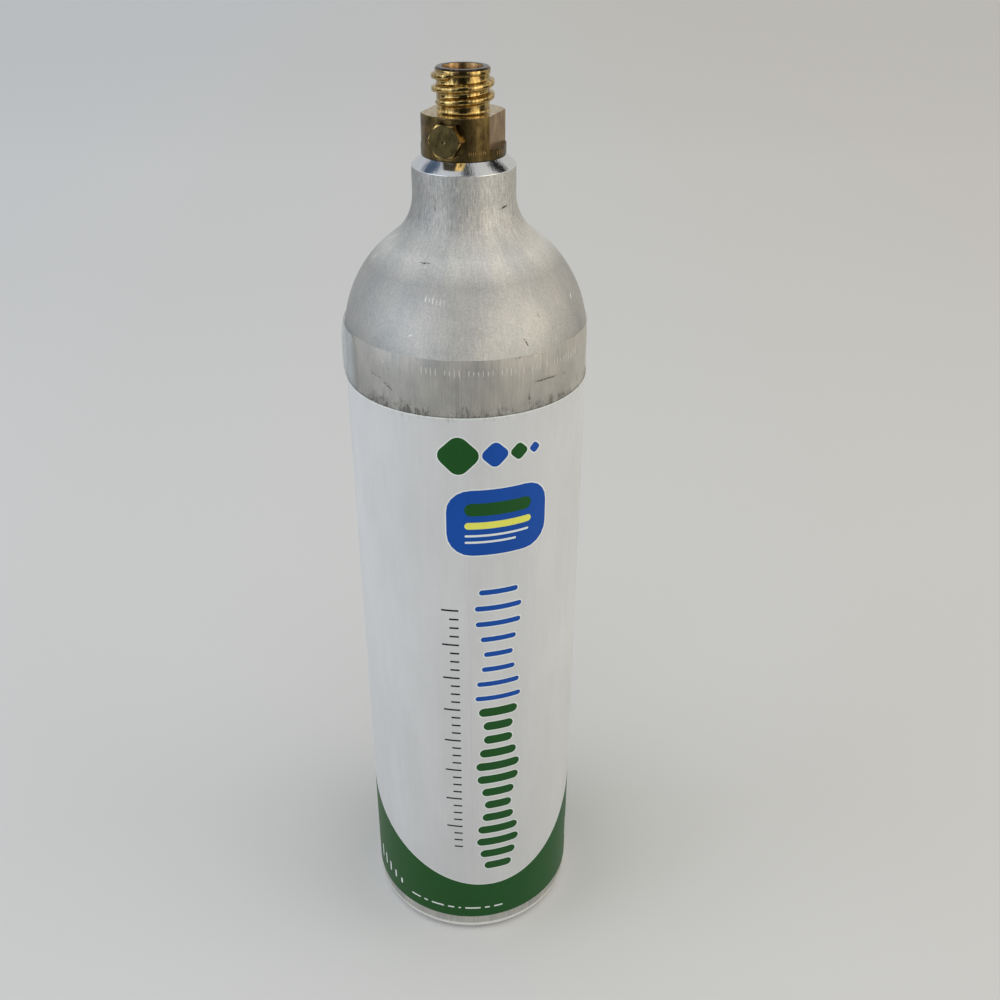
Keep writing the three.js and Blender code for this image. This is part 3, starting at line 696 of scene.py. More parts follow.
# %% Outlines and inks
def shape_loop(shape, grow):
    """The edge of a rounded rectangle, grown outwards, as points on the flat film."""
    half_width, half_tall = shape.width / 2 + grow, shape.tall / 2 + grow
    corner = max(min(shape.corner + grow, half_width, half_tall), 0.05)
    steps = 2 if corner < 0.4 else 5
    loop = []
    for quarter, (sx, sy) in enumerate([(1, 1), (-1, 1), (-1, -1), (1, -1)]):
        start = 90 * quarter
        loop += arc(sx * (half_width - corner), sy * (half_tall - corner), corner, start, start + 90, steps)
    turn = Matrix.Rotation(math.radians(shape.tilt), 2)
    return [turn @ Vector(p) + Vector((shape.arc, shape.height)) for p in loop]


def distance_to(shape, point):
    """Distance from a point to a rounded rectangle's edge, negative inside."""
    local = Matrix.Rotation(-math.radians(shape.tilt), 2) @ (point - Vector((shape.arc, shape.height)))
    out_x = abs(local.x) - shape.width / 2 + shape.corner
    out_y = abs(local.y) - shape.tall / 2 + shape.corner
    return math.hypot(max(out_x, 0), max(out_y, 0)) + min(max(out_x, out_y), 0) - shape.corner


def ink_at(point):
    """The ink at a point on the flat film. A later motif lies over an earlier one."""
    for shape in reversed(motifs):
        reach = max(shape.width, shape.tall) + shape.outline
        if abs(point.x - shape.arc) > reach or abs(point.y - shape.height) > reach:
            continue
        away = distance_to(shape, point)
        if away < 0:
            return shape.ink
        if away < shape.outline:
            return PALE
    if point.y < band_edge(point.x):
        return GREEN
    near_edge = point.y < band_edge(point.x) + OUTLINE or point.y > PRINT_TOP - OUTLINE
    return PALE if near_edge else WHITE


# %% [markdown]
# A constrained triangulation takes the sheet's border, the column lines and all motif edges, and returns
# triangles that never cross any of them. The columns are there for the rolling: a triangle that stays in
# one narrow column bends with the bottle.

# %% Cut the flat film
COLUMNS = 240
half_way = math.pi * FILM_RADIUS


def flat_sheet():
    """Points and triangles of the printed film laid flat, cut along each motif and each column."""
    points, edges = [], []

    def add_line(line, closed):
        first = len(points)
        points.extend(Vector(p) for p in line)
        edges.extend((first + i, first + i + 1) for i in range(len(line) - 1))
        if closed:
            edges.append((first + len(line) - 1, first))

    places = [half_way * (2 * i / COLUMNS - 1) for i in range(COLUMNS + 1)]
    for across in places:
        add_line([(across, FILM_BOTTOM), (across, PRINT_TOP)], False)
    for height in (FILM_BOTTOM, PRINT_TOP, PRINT_TOP - OUTLINE):
        add_line([(-half_way, height), (half_way, height)], False)
    for lift in (0, OUTLINE):
        add_line([(across, band_edge(across) + lift) for across in places], False)
    for shape in motifs:
        add_line(shape_loop(shape, 0), True)
        if shape.outline:
            add_line(shape_loop(shape, shape.outline), True)
    result = delaunay_2d_cdt(points, edges, [], 0, 1e-5)
    return result[0], [list(face) for face in result[2]]


sheet_points, sheet_faces = flat_sheet()
sheet_inks = [ink_at(sum((sheet_points[i] for i in face), Vector((0, 0))) / 3) for face in sheet_faces]
print("flat print:", len(sheet_faces), "triangles,", len(set(sheet_inks)), "inks")

# %% [markdown]
# ## Inks and film
# The ink lies behind a polymer film, so every colour shares one surface: a soft gloss, with faint draw
# lines along the bottle and a light haze of handling. Near the top of the print, dirt has crept under the
# edge, and towards the foot of the wrap the print gets darker with painted shade. The colours are the
# only thing that differs from ink to ink, so one function makes them all.

# %% Ink materials
SMUDGE_DEPTH = 7
PAINTED_SHADE_BELOW = (20, 150)
SEAM = Mark(0, FILM_RADIUS, 135, 0.5, 300, 0)


def ink(name, code):
    """One printed colour behind glossy film, with faint streaks, dirt under the upper edge and painted shade
    lower down.
    """
    material, tree, shader = new_material(f"printed film, {name} ink", roughness=0.42, specular_ior_level=0.2)
    height = coordinates(tree)[2]
    streaks = turned_pattern(tree, 1.09, 33.333, rough=0.65)
    clouds = turned_pattern(tree, 14.533, 45.455, detail=5.0)
    streaked = toned(tree, linear(code), streaks, 0.3, 0.7, 0.98, 1.015)
    clouded = toned(tree, streaked, clouds, 0.3, 0.7, 0.94, 1.04)
    # Painted shade: the print is made darker towards its foot.
    with_painted_shade = toned(tree, clouded, height, *PAINTED_SHADE_BELOW, 0.88, 1.0)
    seamed = toned(tree, with_painted_shade, mark_mask(tree, [SEAM]), 0.0, 1.0, 1.0, 0.93)
    dirt = turned_pattern(tree, 1.2824, 3.3333, detail=7.0, rough=0.72)
    near_top = add_node(tree, "ShaderNodeMapRange", [height, PRINT_TOP - SMUDGE_DEPTH, PRINT_TOP, 0.0, 0.2])
    patchy = add_node(tree, "ShaderNodeMath", [dirt, near_top], operation="ADD")
    smudged = drift(tree, patchy, 0.72, 0.9, seamed, linear("#6E6A63"), most=0.6)
    surface(tree, shader, smudged, streaks, 0.12, 0.08)
    return material


INKS = [
    ink("white", "#C9CACA"),
    ink("green", "#144E1A"),
    ink("blue", "#08489E"),
    ink("yellow", "#E0E060"),
    ink("black", "#0E0E10"),
    ink("pale", "#DCE2DE"),
]
print("inks:", len(INKS))

# %% [markdown]
# Rolling the sheet is one line of trigonometry per point. The film has a real thickness, so it gets an
# inner wall and two rims. The triangles are uneven, and plain smooth shading would show that as faint
# facets, so each point's normal is set to point straight away from the axis.

# %% Roll the film
FILM_THICKNESS = 0.28


def roll(arc_length, height, radius=FILM_RADIUS):
    """A point of the flat film on the bottle. Zero is the front, and positive goes to the right."""
    return on_cylinder(math.degrees(arc_length / FILM_RADIUS), radius, height)


def printed_film():
    """The printed part of the film as a closed sleeve."""
    points = [roll(p.x, p.y) for p in sheet_points]
    faces, inks = list(sheet_faces), list(sheet_inks)
    rims = {}
    for height in (FILM_BOTTOM, PRINT_TOP):
        on_rim = [i for i, p in enumerate(sheet_points) if abs(p.y - height) < 1e-4]
        outer = sorted(on_rim, key=lambda i: sheet_points[i].x)
        inner = range(len(points), len(points) + len(outer))
        points += [roll(sheet_points[i].x, height, FILM_RADIUS - FILM_THICKNESS) for i in outer]
        rims[height] = (outer, inner)
    (low_outer, low_inner), (high_outer, high_inner) = rims[FILM_BOTTOM], rims[PRINT_TOP]
    for k in range(len(low_outer) - 1):
        faces.append([low_outer[k + 1], low_outer[k], low_inner[k], low_inner[k + 1]])
        faces.append([high_outer[k], high_outer[k + 1], high_inner[k + 1], high_inner[k]])
        faces.append([low_inner[k + 1], low_inner[k], high_inner[k], high_inner[k + 1]])
        inks += [WHITE] * 3
    return new_object("label_print", points, faces, INKS, inks)


def close_seam(piece, distance=0.001):
    """Joins points that lie within some millimetres, such as the two ends of a rolled sheet."""
    edit = bmesh.new()
    edit.from_mesh(piece.data)
    bmesh.ops.remove_doubles(edit, verts=edit.verts, dist=distance * MM)
    edit.to_mesh(piece.data)
    edit.free()


def point_from_axis(piece, middle_radius):
    """Normals straight away from the axis outside a radius, and straight towards it inside."""
    piece.data.shade_smooth()
    normals = []
    for vertex in piece.data.vertices:
        away = Vector((vertex.co.x, vertex.co.y, 0))
        normals.append((away if away.length > middle_radius * MM else -away).normalized())
    piece.data.normals_split_custom_set_from_vertices(normals)


label = printed_film()
close_seam(label)
point_from_axis(label, FILM_RADIUS - FILM_THICKNESS / 2)
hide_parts("label_sleeve")
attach(label, "cylinder")
print("label_print:", len(label.data.polygons), "faces")

# %% [markdown]
# ## Clear film
# Above the print the film is bare and shows the metal, a little greyer for its haze. Where it stands off
# from the metal at the left it is paler with a painted sheen, towards the right edge it is paler with a
# painted sheen too, and dirt collects just above the print. A few painted glints sit on it as well.
# Glass-like refraction would be one way to render it, but a thin film hardly bends light. So it is a
# plain surface that covers only a share of what lies behind, and more of it where it is dirty, sheened
# or glinting.

# %% Clear film material
DIRT_MARKS = [
    Mark(-45.3, 44, 268.2, 6.6, 0.35, 13),
    Mark(-37.0, 44, 265.2, 7.6, 0.4, 32),
    Mark(38.6, 44, 267.4, 11.5, 0.8, 1),
    Mark(49.9, 44, 266.7, 1.6, 0.9, 0),
    Mark(62.8, 44, 261.5, 0.6, 2.6, 0),
    Mark(28.8, 44, 262.2, 0.7, 4.6, 0),
    Mark(-2, 44, 260.2, 0.5, 4.6, 12),
    Mark(0, 44, 259.8, 0.5, 3.8, -14),
    Mark(24, 43.6, 277.4, 2.6, 0.4, 0),
]
# Painted glints: pale specks that stand in for highlights on the film and at its upper edge.
PAINTED_GLINTS = [
    Mark(-39.6, 44, 274.1, 0.9, 0.7, 20),
    Mark(-36.9, 44, 271.8, 0.5, 1.2, 0),
    Mark(-27.9, 44, 271.1, 0.9, 0.4, 0),
    Mark(-35.2, 43.7, 276.6, 1.6, 0.3, 0),
    Mark(31.8, 43.7, 277.0, 7.0, 0.3, 0),
]
# Heights, and places to the right and to the back, between which a change comes on.
DIRT_HEIGHT = 8
# Where the painted sheen at the left edge and towards the right edge comes on.
LEFT_SHEEN_SIDE, LEFT_SHEEN_FRONT = (-37.6, -40), (24, 4)
RIGHT_SHEEN_SIDE = (33, 39)


def clear_film():
    """Clear polymer film with a light haze, painted sheen at the left and right and painted glints. It is
    thin, so what lies behind it comes through unbent.
    """
    material, tree, shader = new_material("clear polymer film", roughness=0.26)
    right, back, height = coordinates(tree)
    haze = turned_pattern(tree, 2.18, 8.3333, detail=6.0, rough=0.65)
    tone = drift(tree, haze, 0.35, 0.7, linear("#85837B"), linear("#BAB8B0"))
    # Painted sheen: this zone at the left edge, where the film stands off, makes the film paler and more
    # covering.
    left_sheen = zone(tree, (right, *LEFT_SHEEN_SIDE), (back, *LEFT_SHEEN_FRONT))
    # Painted sheen: towards its right edge the film is made paler.
    rubbed = drift(tree, right, *RIGHT_SHEEN_SIDE, tone, linear("#D2CFC6"))
    paler = drift(tree, left_sheen, 0.0, 1.0, rubbed, linear("#BCC2C3"))
    grime = turned_pattern(tree, 0.872, 3.0303, detail=8.0, rough=0.82)
    patches = turned_pattern(tree, 7.2667, 50, detail=2.0)
    gathered = add_node(tree, "ShaderNodeMapRange", [patches, 0.35, 0.65, -0.05, 0.1])
    low = add_node(tree, "ShaderNodeMapRange", [height, PRINT_TOP + DIRT_HEIGHT, PRINT_TOP, -0.12, 0.075])
    for layer in (gathered, low):
        grime = add_node(tree, "ShaderNodeMath", [grime, layer], operation="ADD")
    smudges = add_node(tree, "ShaderNodeMapRange", [grime, 0.57, 0.69, 0.0, 0.7])
    scuffs = add_node(tree, "ShaderNodeMath", [mark_mask(tree, DIRT_MARKS, 0.9), 0.85], operation="MULTIPLY")
    dirty = add_node(tree, "ShaderNodeMath", [smudges, scuffs], operation="MAXIMUM")
    dirtied = drift(tree, dirty, 0.0, 1.0, paler, linear("#4A4943"))
    # The painted glints, which also cover more of the metal.
    painted_glint = mark_mask(tree, PAINTED_GLINTS, 0.9)
    colour = drift(tree, painted_glint, 0.0, 1.0, dirtied, linear("#E8E8E4"))
    connect(tree, colour, shader.inputs["Base Color"])
    cover = add_node(tree, "ShaderNodeMapRange", [height, PRINT_TOP, FILM_TOP, 0.16, 0.06])
    # More cover towards the right edge, for the painted sheen there.
    right_sheen_cover = add_node(tree, "ShaderNodeMapRange", [right, *RIGHT_SHEEN_SIDE, 0.0, 0.22])
    # Extra cover for the painted sheen at the left edge.
    loose = add_node(tree, "ShaderNodeMath", [left_sheen, 0.34], operation="MULTIPLY")
    for layer in (dirty, painted_glint, loose, right_sheen_cover):
        cover = add_node(tree, "ShaderNodeMath", [cover, layer], operation="MAXIMUM")
    connect(tree, cover, shader.inputs["Alpha"])
    return material


CLEAR_FILM = clear_film()

# %% [markdown]
# The film shrinks on with heat, so its free upper edge is never quite true: it hugs the start of the dome
# and stands off a little on one side. A cloth simulation could shrink it, but a grid that is pushed out
# by a smooth rule puts the bulge just where it should be. A Solidify modifier then gives the thickness.

# %% Clear margin of the film
MARGIN_ROWS = 28
LIFT = 1.15
LIFT_ANGLE = -76
LIFT_SPREAD = 24
LIFT_START = 0.08
HUG = 0.3
RIPPLE = 0.025


def film_lift(turn, share):
    """How far the margin stands off, by angle and share of the way up: most at the left, snug elsewhere."""
    away = (math.degrees(turn) - LIFT_ANGLE + 180) % 360 - 180
    loose = math.exp(-((away / LIFT_SPREAD) ** 2))
    bulge = LIFT * (1 - math.exp(-share / LIFT_START)) * (1 - share**5)
    ripple = RIPPLE * share * (math.sin(5 * turn + 1) + math.sin(11 * turn))
    return loose * bulge - (1 - loose) * HUG * share**4 + ripple


def film_margin_piece():
    """The clear upper part of the film as a sheet; Solidify gives it its thickness."""
    points, faces = [], []
    for row in range(MARGIN_ROWS + 1):
        share = row / MARGIN_ROWS
        height = PRINT_TOP + share * (FILM_TOP - PRINT_TOP)
        for k in range(COLUMNS):
            turn = 2 * math.pi * k / COLUMNS
            points.append(on_cylinder(math.degrees(turn), FILM_RADIUS + film_lift(turn, share), height))
    for row in range(MARGIN_ROWS):
        for k in range(COLUMNS):
            low, high = row * COLUMNS, (row + 1) * COLUMNS
            after = (k + 1) % COLUMNS
            faces.append([low + k, low + after, high + after, high + k])
    return new_object("film_margin", points, faces, [CLEAR_FILM])


margin = film_margin_piece()
wall = margin.modifiers.new("film thickness", "SOLIDIFY")
wall.thickness, wall.offset = FILM_THICKNESS * MM, -1
shade(margin, 60)
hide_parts("label_sleeve")
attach(margin, "cylinder")
print("film_margin:", len(margin.data.polygons), "faces")

# %% [markdown]
# ## Brass
# The valve is free-machining brass, turned and milled, then left bare. Handling turns it brown where
# nothing rubs it, and the threads and edges stay golden. One metal so gets six finishes, which differ in
# their two tones, in gloss and in the size of their patches. One function makes them all. Some of them
# hold painted light: painted shade that darkens the collar's side to the right, a painted dark reflection
# on the stub's rim, and a painted grey reflection of the aluminium on the plug's lower sides.


# %% Brass finishes
PAINTED_SHADE_RIGHT = (3, 8)


def brass(name, bright, dull, roughness, patch, right=1.0):
    """Bare brass that drifts between a rubbed and a tarnished tone in patches of a size in millimetres."""
    material, tree, shader = new_material(name, metallic=1.0)
    across = coordinates(tree)[0]
    tarnish = turned_pattern(tree, 0.4767 * patch, patch, detail=6.0, rings=2, radius=COLLAR_RADIUS)
    streaks = turned_pattern(tree, 0.286, 3.8462, detail=5.0, rough=0.7, rings=12, radius=COLLAR_RADIUS)
    tone = drift(tree, tarnish, 0.36, 0.64, linear(dull), linear(bright))
    streaked = toned(tree, tone, streaks, 0.3, 0.7, 0.86, 1.12)
    # Painted shade: where right is below 1, the colour darkens towards the right.
    shaded_right = toned(tree, streaked, across, *PAINTED_SHADE_RIGHT, 1.0, right)
    surface(tree, shader, shaded_right, streaks, 0.12, 0.02, tarnish, 0.36, 0.64, roughness + 0.08, roughness)
    return material


# The stub and the plug's worked sides: turned, and kept golden and glossy by use.
TURNED_BRASS = brass("brass, turned and rubbed", "#D4B875", "#866C3E", 0.1, 3)
# The collar's round side: a brown skin with a dull sheen, and painted shade that darkens it to the right.
DULL_BRASS = brass("brass, tarnished", "#786640", "#483C25", 0.28, 4, right=0.74)
# The wrench flats, and the bored socket: cut metal that has dulled, light but no longer golden.
MILLED_BRASS = brass("brass, milled", "#A88A5E", "#7E6242", 0.26, 6)
# The stub's top rim: the darkest brown, with some gloss, a painted dark reflection of the surroundings.
DARK_REFLECTION_BRASS = brass("brass, painted_dark_reflection", "#54493D", "#362C22", 0.2, 4)
# The plug's outer face: an even olive skin, still glossy.
OLIVE_BRASS = brass("brass, olive tarnish", "#6A5E3C", "#443C26", 0.2, 3)
# The plug's lower sides: a greyish colour, a painted reflection of the aluminium below, over a glossy cut
# face.
GREY_REFLECTION_BRASS = brass("brass, greyed", "#8A7C64", "#675C49", 0.16, 5)
BRASSES = [TURNED_BRASS, DULL_BRASS, MILLED_BRASS, DARK_REFLECTION_BRASS]
PLUG_BRASSES = [TURNED_BRASS, OLIVE_BRASS, GREY_REFLECTION_BRASS]
print("brass finishes:", [m.name for m in bpy.data.materials if m.name.startswith("brass")])

# %% [markdown]
# ## Cutting tools
# Flats, slots and ports are cut with booleans, as a mill would cut them. Each cutter is used up at once
# and the result kept as a plain mesh, so that nothing stays live on the piece.


# %% Boolean and bevel helpers
def settle(piece):
    """Replaces a piece's mesh with what its modifiers make of it."""
    graph = bpy.context.evaluated_depsgraph_get()
    made = bpy.data.meshes.new_from_object(piece.evaluated_get(graph))
    piece.modifiers.clear()
    piece.data = made
    return piece


def combine(piece, tool, operation="DIFFERENCE"):
    """Cuts a piece with a tool, or joins the tool to it, and removes the tool."""
    step = piece.modifiers.new(operation, "BOOLEAN")
    step.operation, step.solver, step.object = operation, "EXACT", tool
    settle(piece)
    bpy.data.objects.remove(tool)
    return piece


def break_edges(piece, width, sharpest=50):
    """Takes the sharpness off cut edges, as a deburring tool does."""
    step = piece.modifiers.new("edges", "BEVEL")
    step.width, step.segments = width * MM, 2
    step.limit_method, step.angle_limit = "ANGLE", math.radians(sharpest)
    return settle(piece)


def shade_flats(piece, sharpest=20):
    """Shading for cut pieces: large faces keep their own direction, and only the broken edges turn."""
    shade(piece, sharpest)
    step = piece.modifiers.new("shading", "WEIGHTED_NORMAL")
    step.keep_sharp = True
    return settle(piece)


def box_tool(low, high, turn=0):
    """A block between two corners, turned round the axis by some degrees."""
    points = [(x, y, z) for x in (low[0], high[0]) for y in (low[1], high[1]) for z in (low[2], high[2])]
    faces = [(0, 1, 3, 2), (4, 6, 7, 5), (0, 4, 5, 1), (2, 3, 7, 6), (0, 2, 6, 4), (1, 5, 7, 3)]
    tool = new_object("tool", points, faces)
    tool.data.transform(Matrix.Rotation(math.radians(turn), 4, "Z"))
    return tool


def lay_in_port(piece, turn, height):
    """Lays a piece that was built along the axis into the port: level, at a turn and a height."""
    lay = Matrix.Translation((0, 0, height * MM)) @ Matrix.Rotation(math.radians(turn), 4, "Z")
    piece.data.transform(lay @ Matrix.Rotation(math.pi / 2, 4, "Y"))
    return piece


def give_finishes(piece, materials, finish_of=None):
    """Gives a piece its materials in place of those it has, and picks one for each face."""
    piece.data.materials.clear()
    for material in materials:
        piece.data.materials.append(material)
    for face in piece.data.polygons if finish_of else ():
        face.material_index = materials.index(finish_of(face))


# %% [markdown]
# ## Valve body
# A collar with two wrench flats carries the outlet stub. The outline holds the outside and the passage in
# one loop. Heights are measured from the neck's top face. Above its thread the stub has a short plain
# land, and its socket opens in a slight cone, which leads a machine's nose in. Flats and the port for the
# safety plug are cut next, and only then are the cut edges broken, since the turned ones are already
# round.

# %% Valve body, turned and milled
VALVE_SEGMENTS = 144
VALVE_EDGE = 0.18
CUT_EDGE = 0.1
SEAT_GAP = 0.05
COLLAR_HEIGHT = 13.7
COLLAR_BEVEL = 0.25
WRENCH_WIDTH = 24
WRENCH_FLAT_BOTTOM = 3.5
WRENCH_TURN = 21
SHANK_RADIUS = 8.8
SHANK_LENGTH = NECK_TOP - valve_low.z
SHANK_BEVEL = 1.2
RELIEF_RADIUS = 8.3
RELIEF_LENGTH = 3.2
STUB_HEIGHT = VALVE_TOP - NECK_TOP
STUB_ROOT = 8.75
STUB_BEVEL = 0.6
STUB_FILLET = 0.9
LAND_RADIUS = 9.1
LAND_BOTTOM = 25.6
LAND_RUN = 0.3
SOCKET_RADIUS = 6.25
SOCKET_DEPTH = 8.6
MOUTH_RADIUS = 6.85
MOUTH_DEPTH = 2.6
CORE_BORE = 5.2
CORE_LENGTH = 8.2
CHAMBER_RADIUS = 4.4
CHAMBER_FLOOR = -4.5
INLET_RADIUS = 2.2
TUBE_BORE = 4.3
TUBE_BORE_DEPTH = 9.5
PORT_TURN = 270 - WRENCH_TURN
PORT_HEIGHT = 7.1
SPOT_FACE = COLLAR_RADIUS - 1.3
SPOT_FACE_RADIUS = 6.2
PLUG_BORE = 4
DISC_SEAT = 7.4
PILOT_RADIUS = 1.5

SOCKET_FLOOR = STUB_HEIGHT - SOCKET_DEPTH
CORE_FLOOR = SOCKET_FLOOR - CORE_LENGTH
TUBE_BORE_TOP = -SHANK_LENGTH + TUBE_BORE_DEPTH
OUTSIDE = 2 * COLLAR_RADIUS


def valve_outline():
    """The passage is the inner side of the loop, and the shank, collar and stub the outer."""
    return [
        (TUBE_BORE, -SHANK_LENGTH),
        (SHANK_RADIUS - SHANK_BEVEL, -SHANK_LENGTH),
        (SHANK_RADIUS, -SHANK_LENGTH + SHANK_BEVEL),
        (SHANK_RADIUS, -RELIEF_LENGTH - (SHANK_RADIUS - RELIEF_RADIUS)),
        (RELIEF_RADIUS, -RELIEF_LENGTH),
        (RELIEF_RADIUS, SEAT_GAP),
        (COLLAR_RADIUS - COLLAR_BEVEL, SEAT_GAP),
        (COLLAR_RADIUS, SEAT_GAP + COLLAR_BEVEL),
        (COLLAR_RADIUS, COLLAR_HEIGHT - COLLAR_BEVEL),
        (COLLAR_RADIUS - COLLAR_BEVEL, COLLAR_HEIGHT),
        *arc(STUB_ROOT + STUB_FILLET, COLLAR_HEIGHT + STUB_FILLET, STUB_FILLET, 270, 180, 8),
        (STUB_ROOT, LAND_BOTTOM - LAND_RUN),
        (LAND_RADIUS, LAND_BOTTOM),
        (LAND_RADIUS, STUB_HEIGHT - STUB_BEVEL),
        (LAND_RADIUS - STUB_BEVEL, STUB_HEIGHT),
        (MOUTH_RADIUS, STUB_HEIGHT),
        (SOCKET_RADIUS, STUB_HEIGHT - MOUTH_DEPTH),
        (SOCKET_RADIUS, SOCKET_FLOOR),
        (CORE_BORE, SOCKET_FLOOR),
        (CORE_BORE, CORE_FLOOR),
        (CHAMBER_RADIUS, CORE_FLOOR),
        (CHAMBER_RADIUS, CHAMBER_FLOOR),
        (INLET_RADIUS, CHAMBER_FLOOR),
        (INLET_RADIUS, TUBE_BORE_TOP),
        (TUBE_BORE, TUBE_BORE_TOP),
    ]


def port_tool():
    """What the burst disc port removes: the spot face, the plug's bore and the pilot."""
    outline = [
        (0, 0),
        (PILOT_RADIUS, 0),
        (PILOT_RADIUS, DISC_SEAT),
        (PLUG_BORE, DISC_SEAT),
        (PLUG_BORE, SPOT_FACE),
        (SPOT_FACE_RADIUS, SPOT_FACE),
        (SPOT_FACE_RADIUS, OUTSIDE),
        (0, OUTSIDE),
    ]
    return lay_in_port(lathe("tool", outline, 72), PORT_TURN, PORT_HEIGHT)


valve = lathe("valve_body_milled", soften(valve_outline(), VALVE_EDGE), VALVE_SEGMENTS)
for side in (-WRENCH_TURN, 180 - WRENCH_TURN):
    low_corner = (WRENCH_WIDTH / 2, -OUTSIDE, WRENCH_FLAT_BOTTOM)
    combine(valve, box_tool(low_corner, (OUTSIDE, OUTSIDE, STUB_HEIGHT + 1), side))
combine(valve, port_tool())
break_edges(valve, CUT_EDGE)
print("valve body before its thread:", len(valve.data.polygons), "faces")

# %% [markdown]
# ## Coils
# The outlet thread and the return spring are the same thing to a modeller: a cross-section carried round
# a helix. Geometry Nodes fit that well, because the whole rule stays in sight and every size is a named
# input. The object that carries the modifier is the cross-section itself. The path is a straight line of
# many points that Set Position winds up, which also allows a spring's closed end turns, where the pitch
# changes. The section is scaled to nothing at both ends for the thread's run-out.

# %% Tree that winds a section into a coil
COIL_INPUTS = ["Radius", "Bottom", "Top", "Turns", "End Turns", "End Pitch"]
COIL_INPUTS += ["Start Angle", "Run In", "Run Out"]


def new_tree(name, geometry, floats, integers):
    """An empty Geometry Nodes tree, for geometry, sizes, counts and a material."""
    tree = bpy.data.node_groups.new(name, "GeometryNodeTree")
    tree.interface.new_socket(geometry, in_out="INPUT", socket_type="NodeSocketGeometry")
    for names, kind in ((floats, "NodeSocketFloat"), (integers, "NodeSocketInt")):
        for socket in names:
            tree.interface.new_socket(socket, in_out="INPUT", socket_type=kind)
    tree.interface.new_socket("Material", in_out="INPUT", socket_type="NodeSocketMaterial")
    tree.interface.new_socket("Mesh", in_out="OUTPUT", socket_type="NodeSocketGeometry")
    return tree, add_node(tree, "NodeGroupInput").outputs


def end_tree(tree, geometry, material):
    """Makes real what a tree has built, gives it its material and hands it out."""
    whole = add_node(tree, "GeometryNodeRealizeInstances", {"Geometry": geometry})
    finished = add_node(tree, "GeometryNodeSetMaterial", {"Geometry": whole, "Material": material})
    add_node(tree, "NodeGroupOutput", {"Mesh": finished})
    return tree


def coil_tree():
    """Sweeps the object's own curve along a helix with closed turns and run-outs at its ends."""
    tree, size = new_tree("wind a section into a coil", "Section", COIL_INPUTS, ["Steps"])
    line = add_node(tree, "GeometryNodeCurvePrimitiveLine")
    fine = add_node(tree, "GeometryNodeResampleCurve", {"Curve": line, "Count": size["Steps"]})
    share = add_node(tree, "GeometryNodeSplineParameter").outputs["Factor"]
    turn = add_node(tree, "ShaderNodeMath", [share, size["Turns"]], operation="MULTIPLY")
    left = add_node(tree, "ShaderNodeMath", [size["Turns"], turn], operation="SUBTRACT")
    ends = add_node(tree, "ShaderNodeMath", [size["End Turns"], 2.0], operation="MULTIPLY")
    open_turns = add_node(tree, "ShaderNodeMath", [size["Turns"], ends], operation="SUBTRACT")
    past_end = add_node(tree, "ShaderNodeMath", [turn, size["End Turns"]], operation="SUBTRACT")
    opened = add_node(tree, "ShaderNodeClamp", {"Value": past_end, "Min": 0.0, "Max": open_turns})
    closed = add_node(tree, "ShaderNodeMath", [turn, opened], operation="SUBTRACT")
    closed_rise = add_node(tree, "ShaderNodeMath", [closed, size["End Pitch"]], operation="MULTIPLY")
    span = add_node(tree, "ShaderNodeMath", [size["Top"], size["Bottom"]], operation="SUBTRACT")
    end_rise = add_node(tree, "ShaderNodeMath", [ends, size["End Pitch"]], operation="MULTIPLY")
    open_rise = add_node(tree, "ShaderNodeMath", [span, end_rise], operation="SUBTRACT")
    pitch = add_node(tree, "ShaderNodeMath", [open_rise, open_turns], operation="DIVIDE")
    climbed = add_node(tree, "ShaderNodeMath", [opened, pitch, closed_rise], operation="MULTIPLY_ADD")
    height = add_node(tree, "ShaderNodeMath", [climbed, size["Bottom"]], operation="ADD")
    angle = add_node(tree, "ShaderNodeMath", [turn, math.tau, size["Start Angle"]], operation="MULTIPLY_ADD")
    cosine = add_node(tree, "ShaderNodeMath", [angle], operation="COSINE")
    sine = add_node(tree, "ShaderNodeMath", [angle], operation="SINE")
    along = add_node(tree, "ShaderNodeMath", [cosine, size["Radius"]], operation="MULTIPLY")
    across = add_node(tree, "ShaderNodeMath", [sine, size["Radius"]], operation="MULTIPLY")
    spot = add_node(tree, "ShaderNodeCombineXYZ", [along, across, height])
    path = add_node(tree, "GeometryNodeSetPosition", {"Geometry": fine, "Position": spot})
    upright = add_node(tree, "GeometryNodeSetCurveNormal", {"Curve": path}, mode="Z_UP")
    rising = add_node(tree, "ShaderNodeMath", [turn, size["Run In"]], operation="DIVIDE")
    sinking = add_node(tree, "ShaderNodeMath", [left, size["Run Out"]], operation="DIVIDE")
    lesser = add_node(tree, "ShaderNodeMath", [rising, sinking], operation="MINIMUM")
    full = add_node(tree, "ShaderNodeClamp", {"Value": lesser, "Min": 0.02, "Max": 1.0})
    sweep = {"Curve": upright, "Profile Curve": size["Section"], "Scale": full, "Fill Caps": True}
    return end_tree(tree, add_node(tree, "GeometryNodeCurveToMesh", sweep), size["Material"])


def set_inputs(step, tree, values):
    """Sets a modifier's inputs by name."""
    identifiers = {s.name: s.identifier for s in tree.interface.items_tree if s.in_out == "INPUT"}
    for key, value in values.items():
        step[identifiers[key]] = value


COIL = coil_tree()


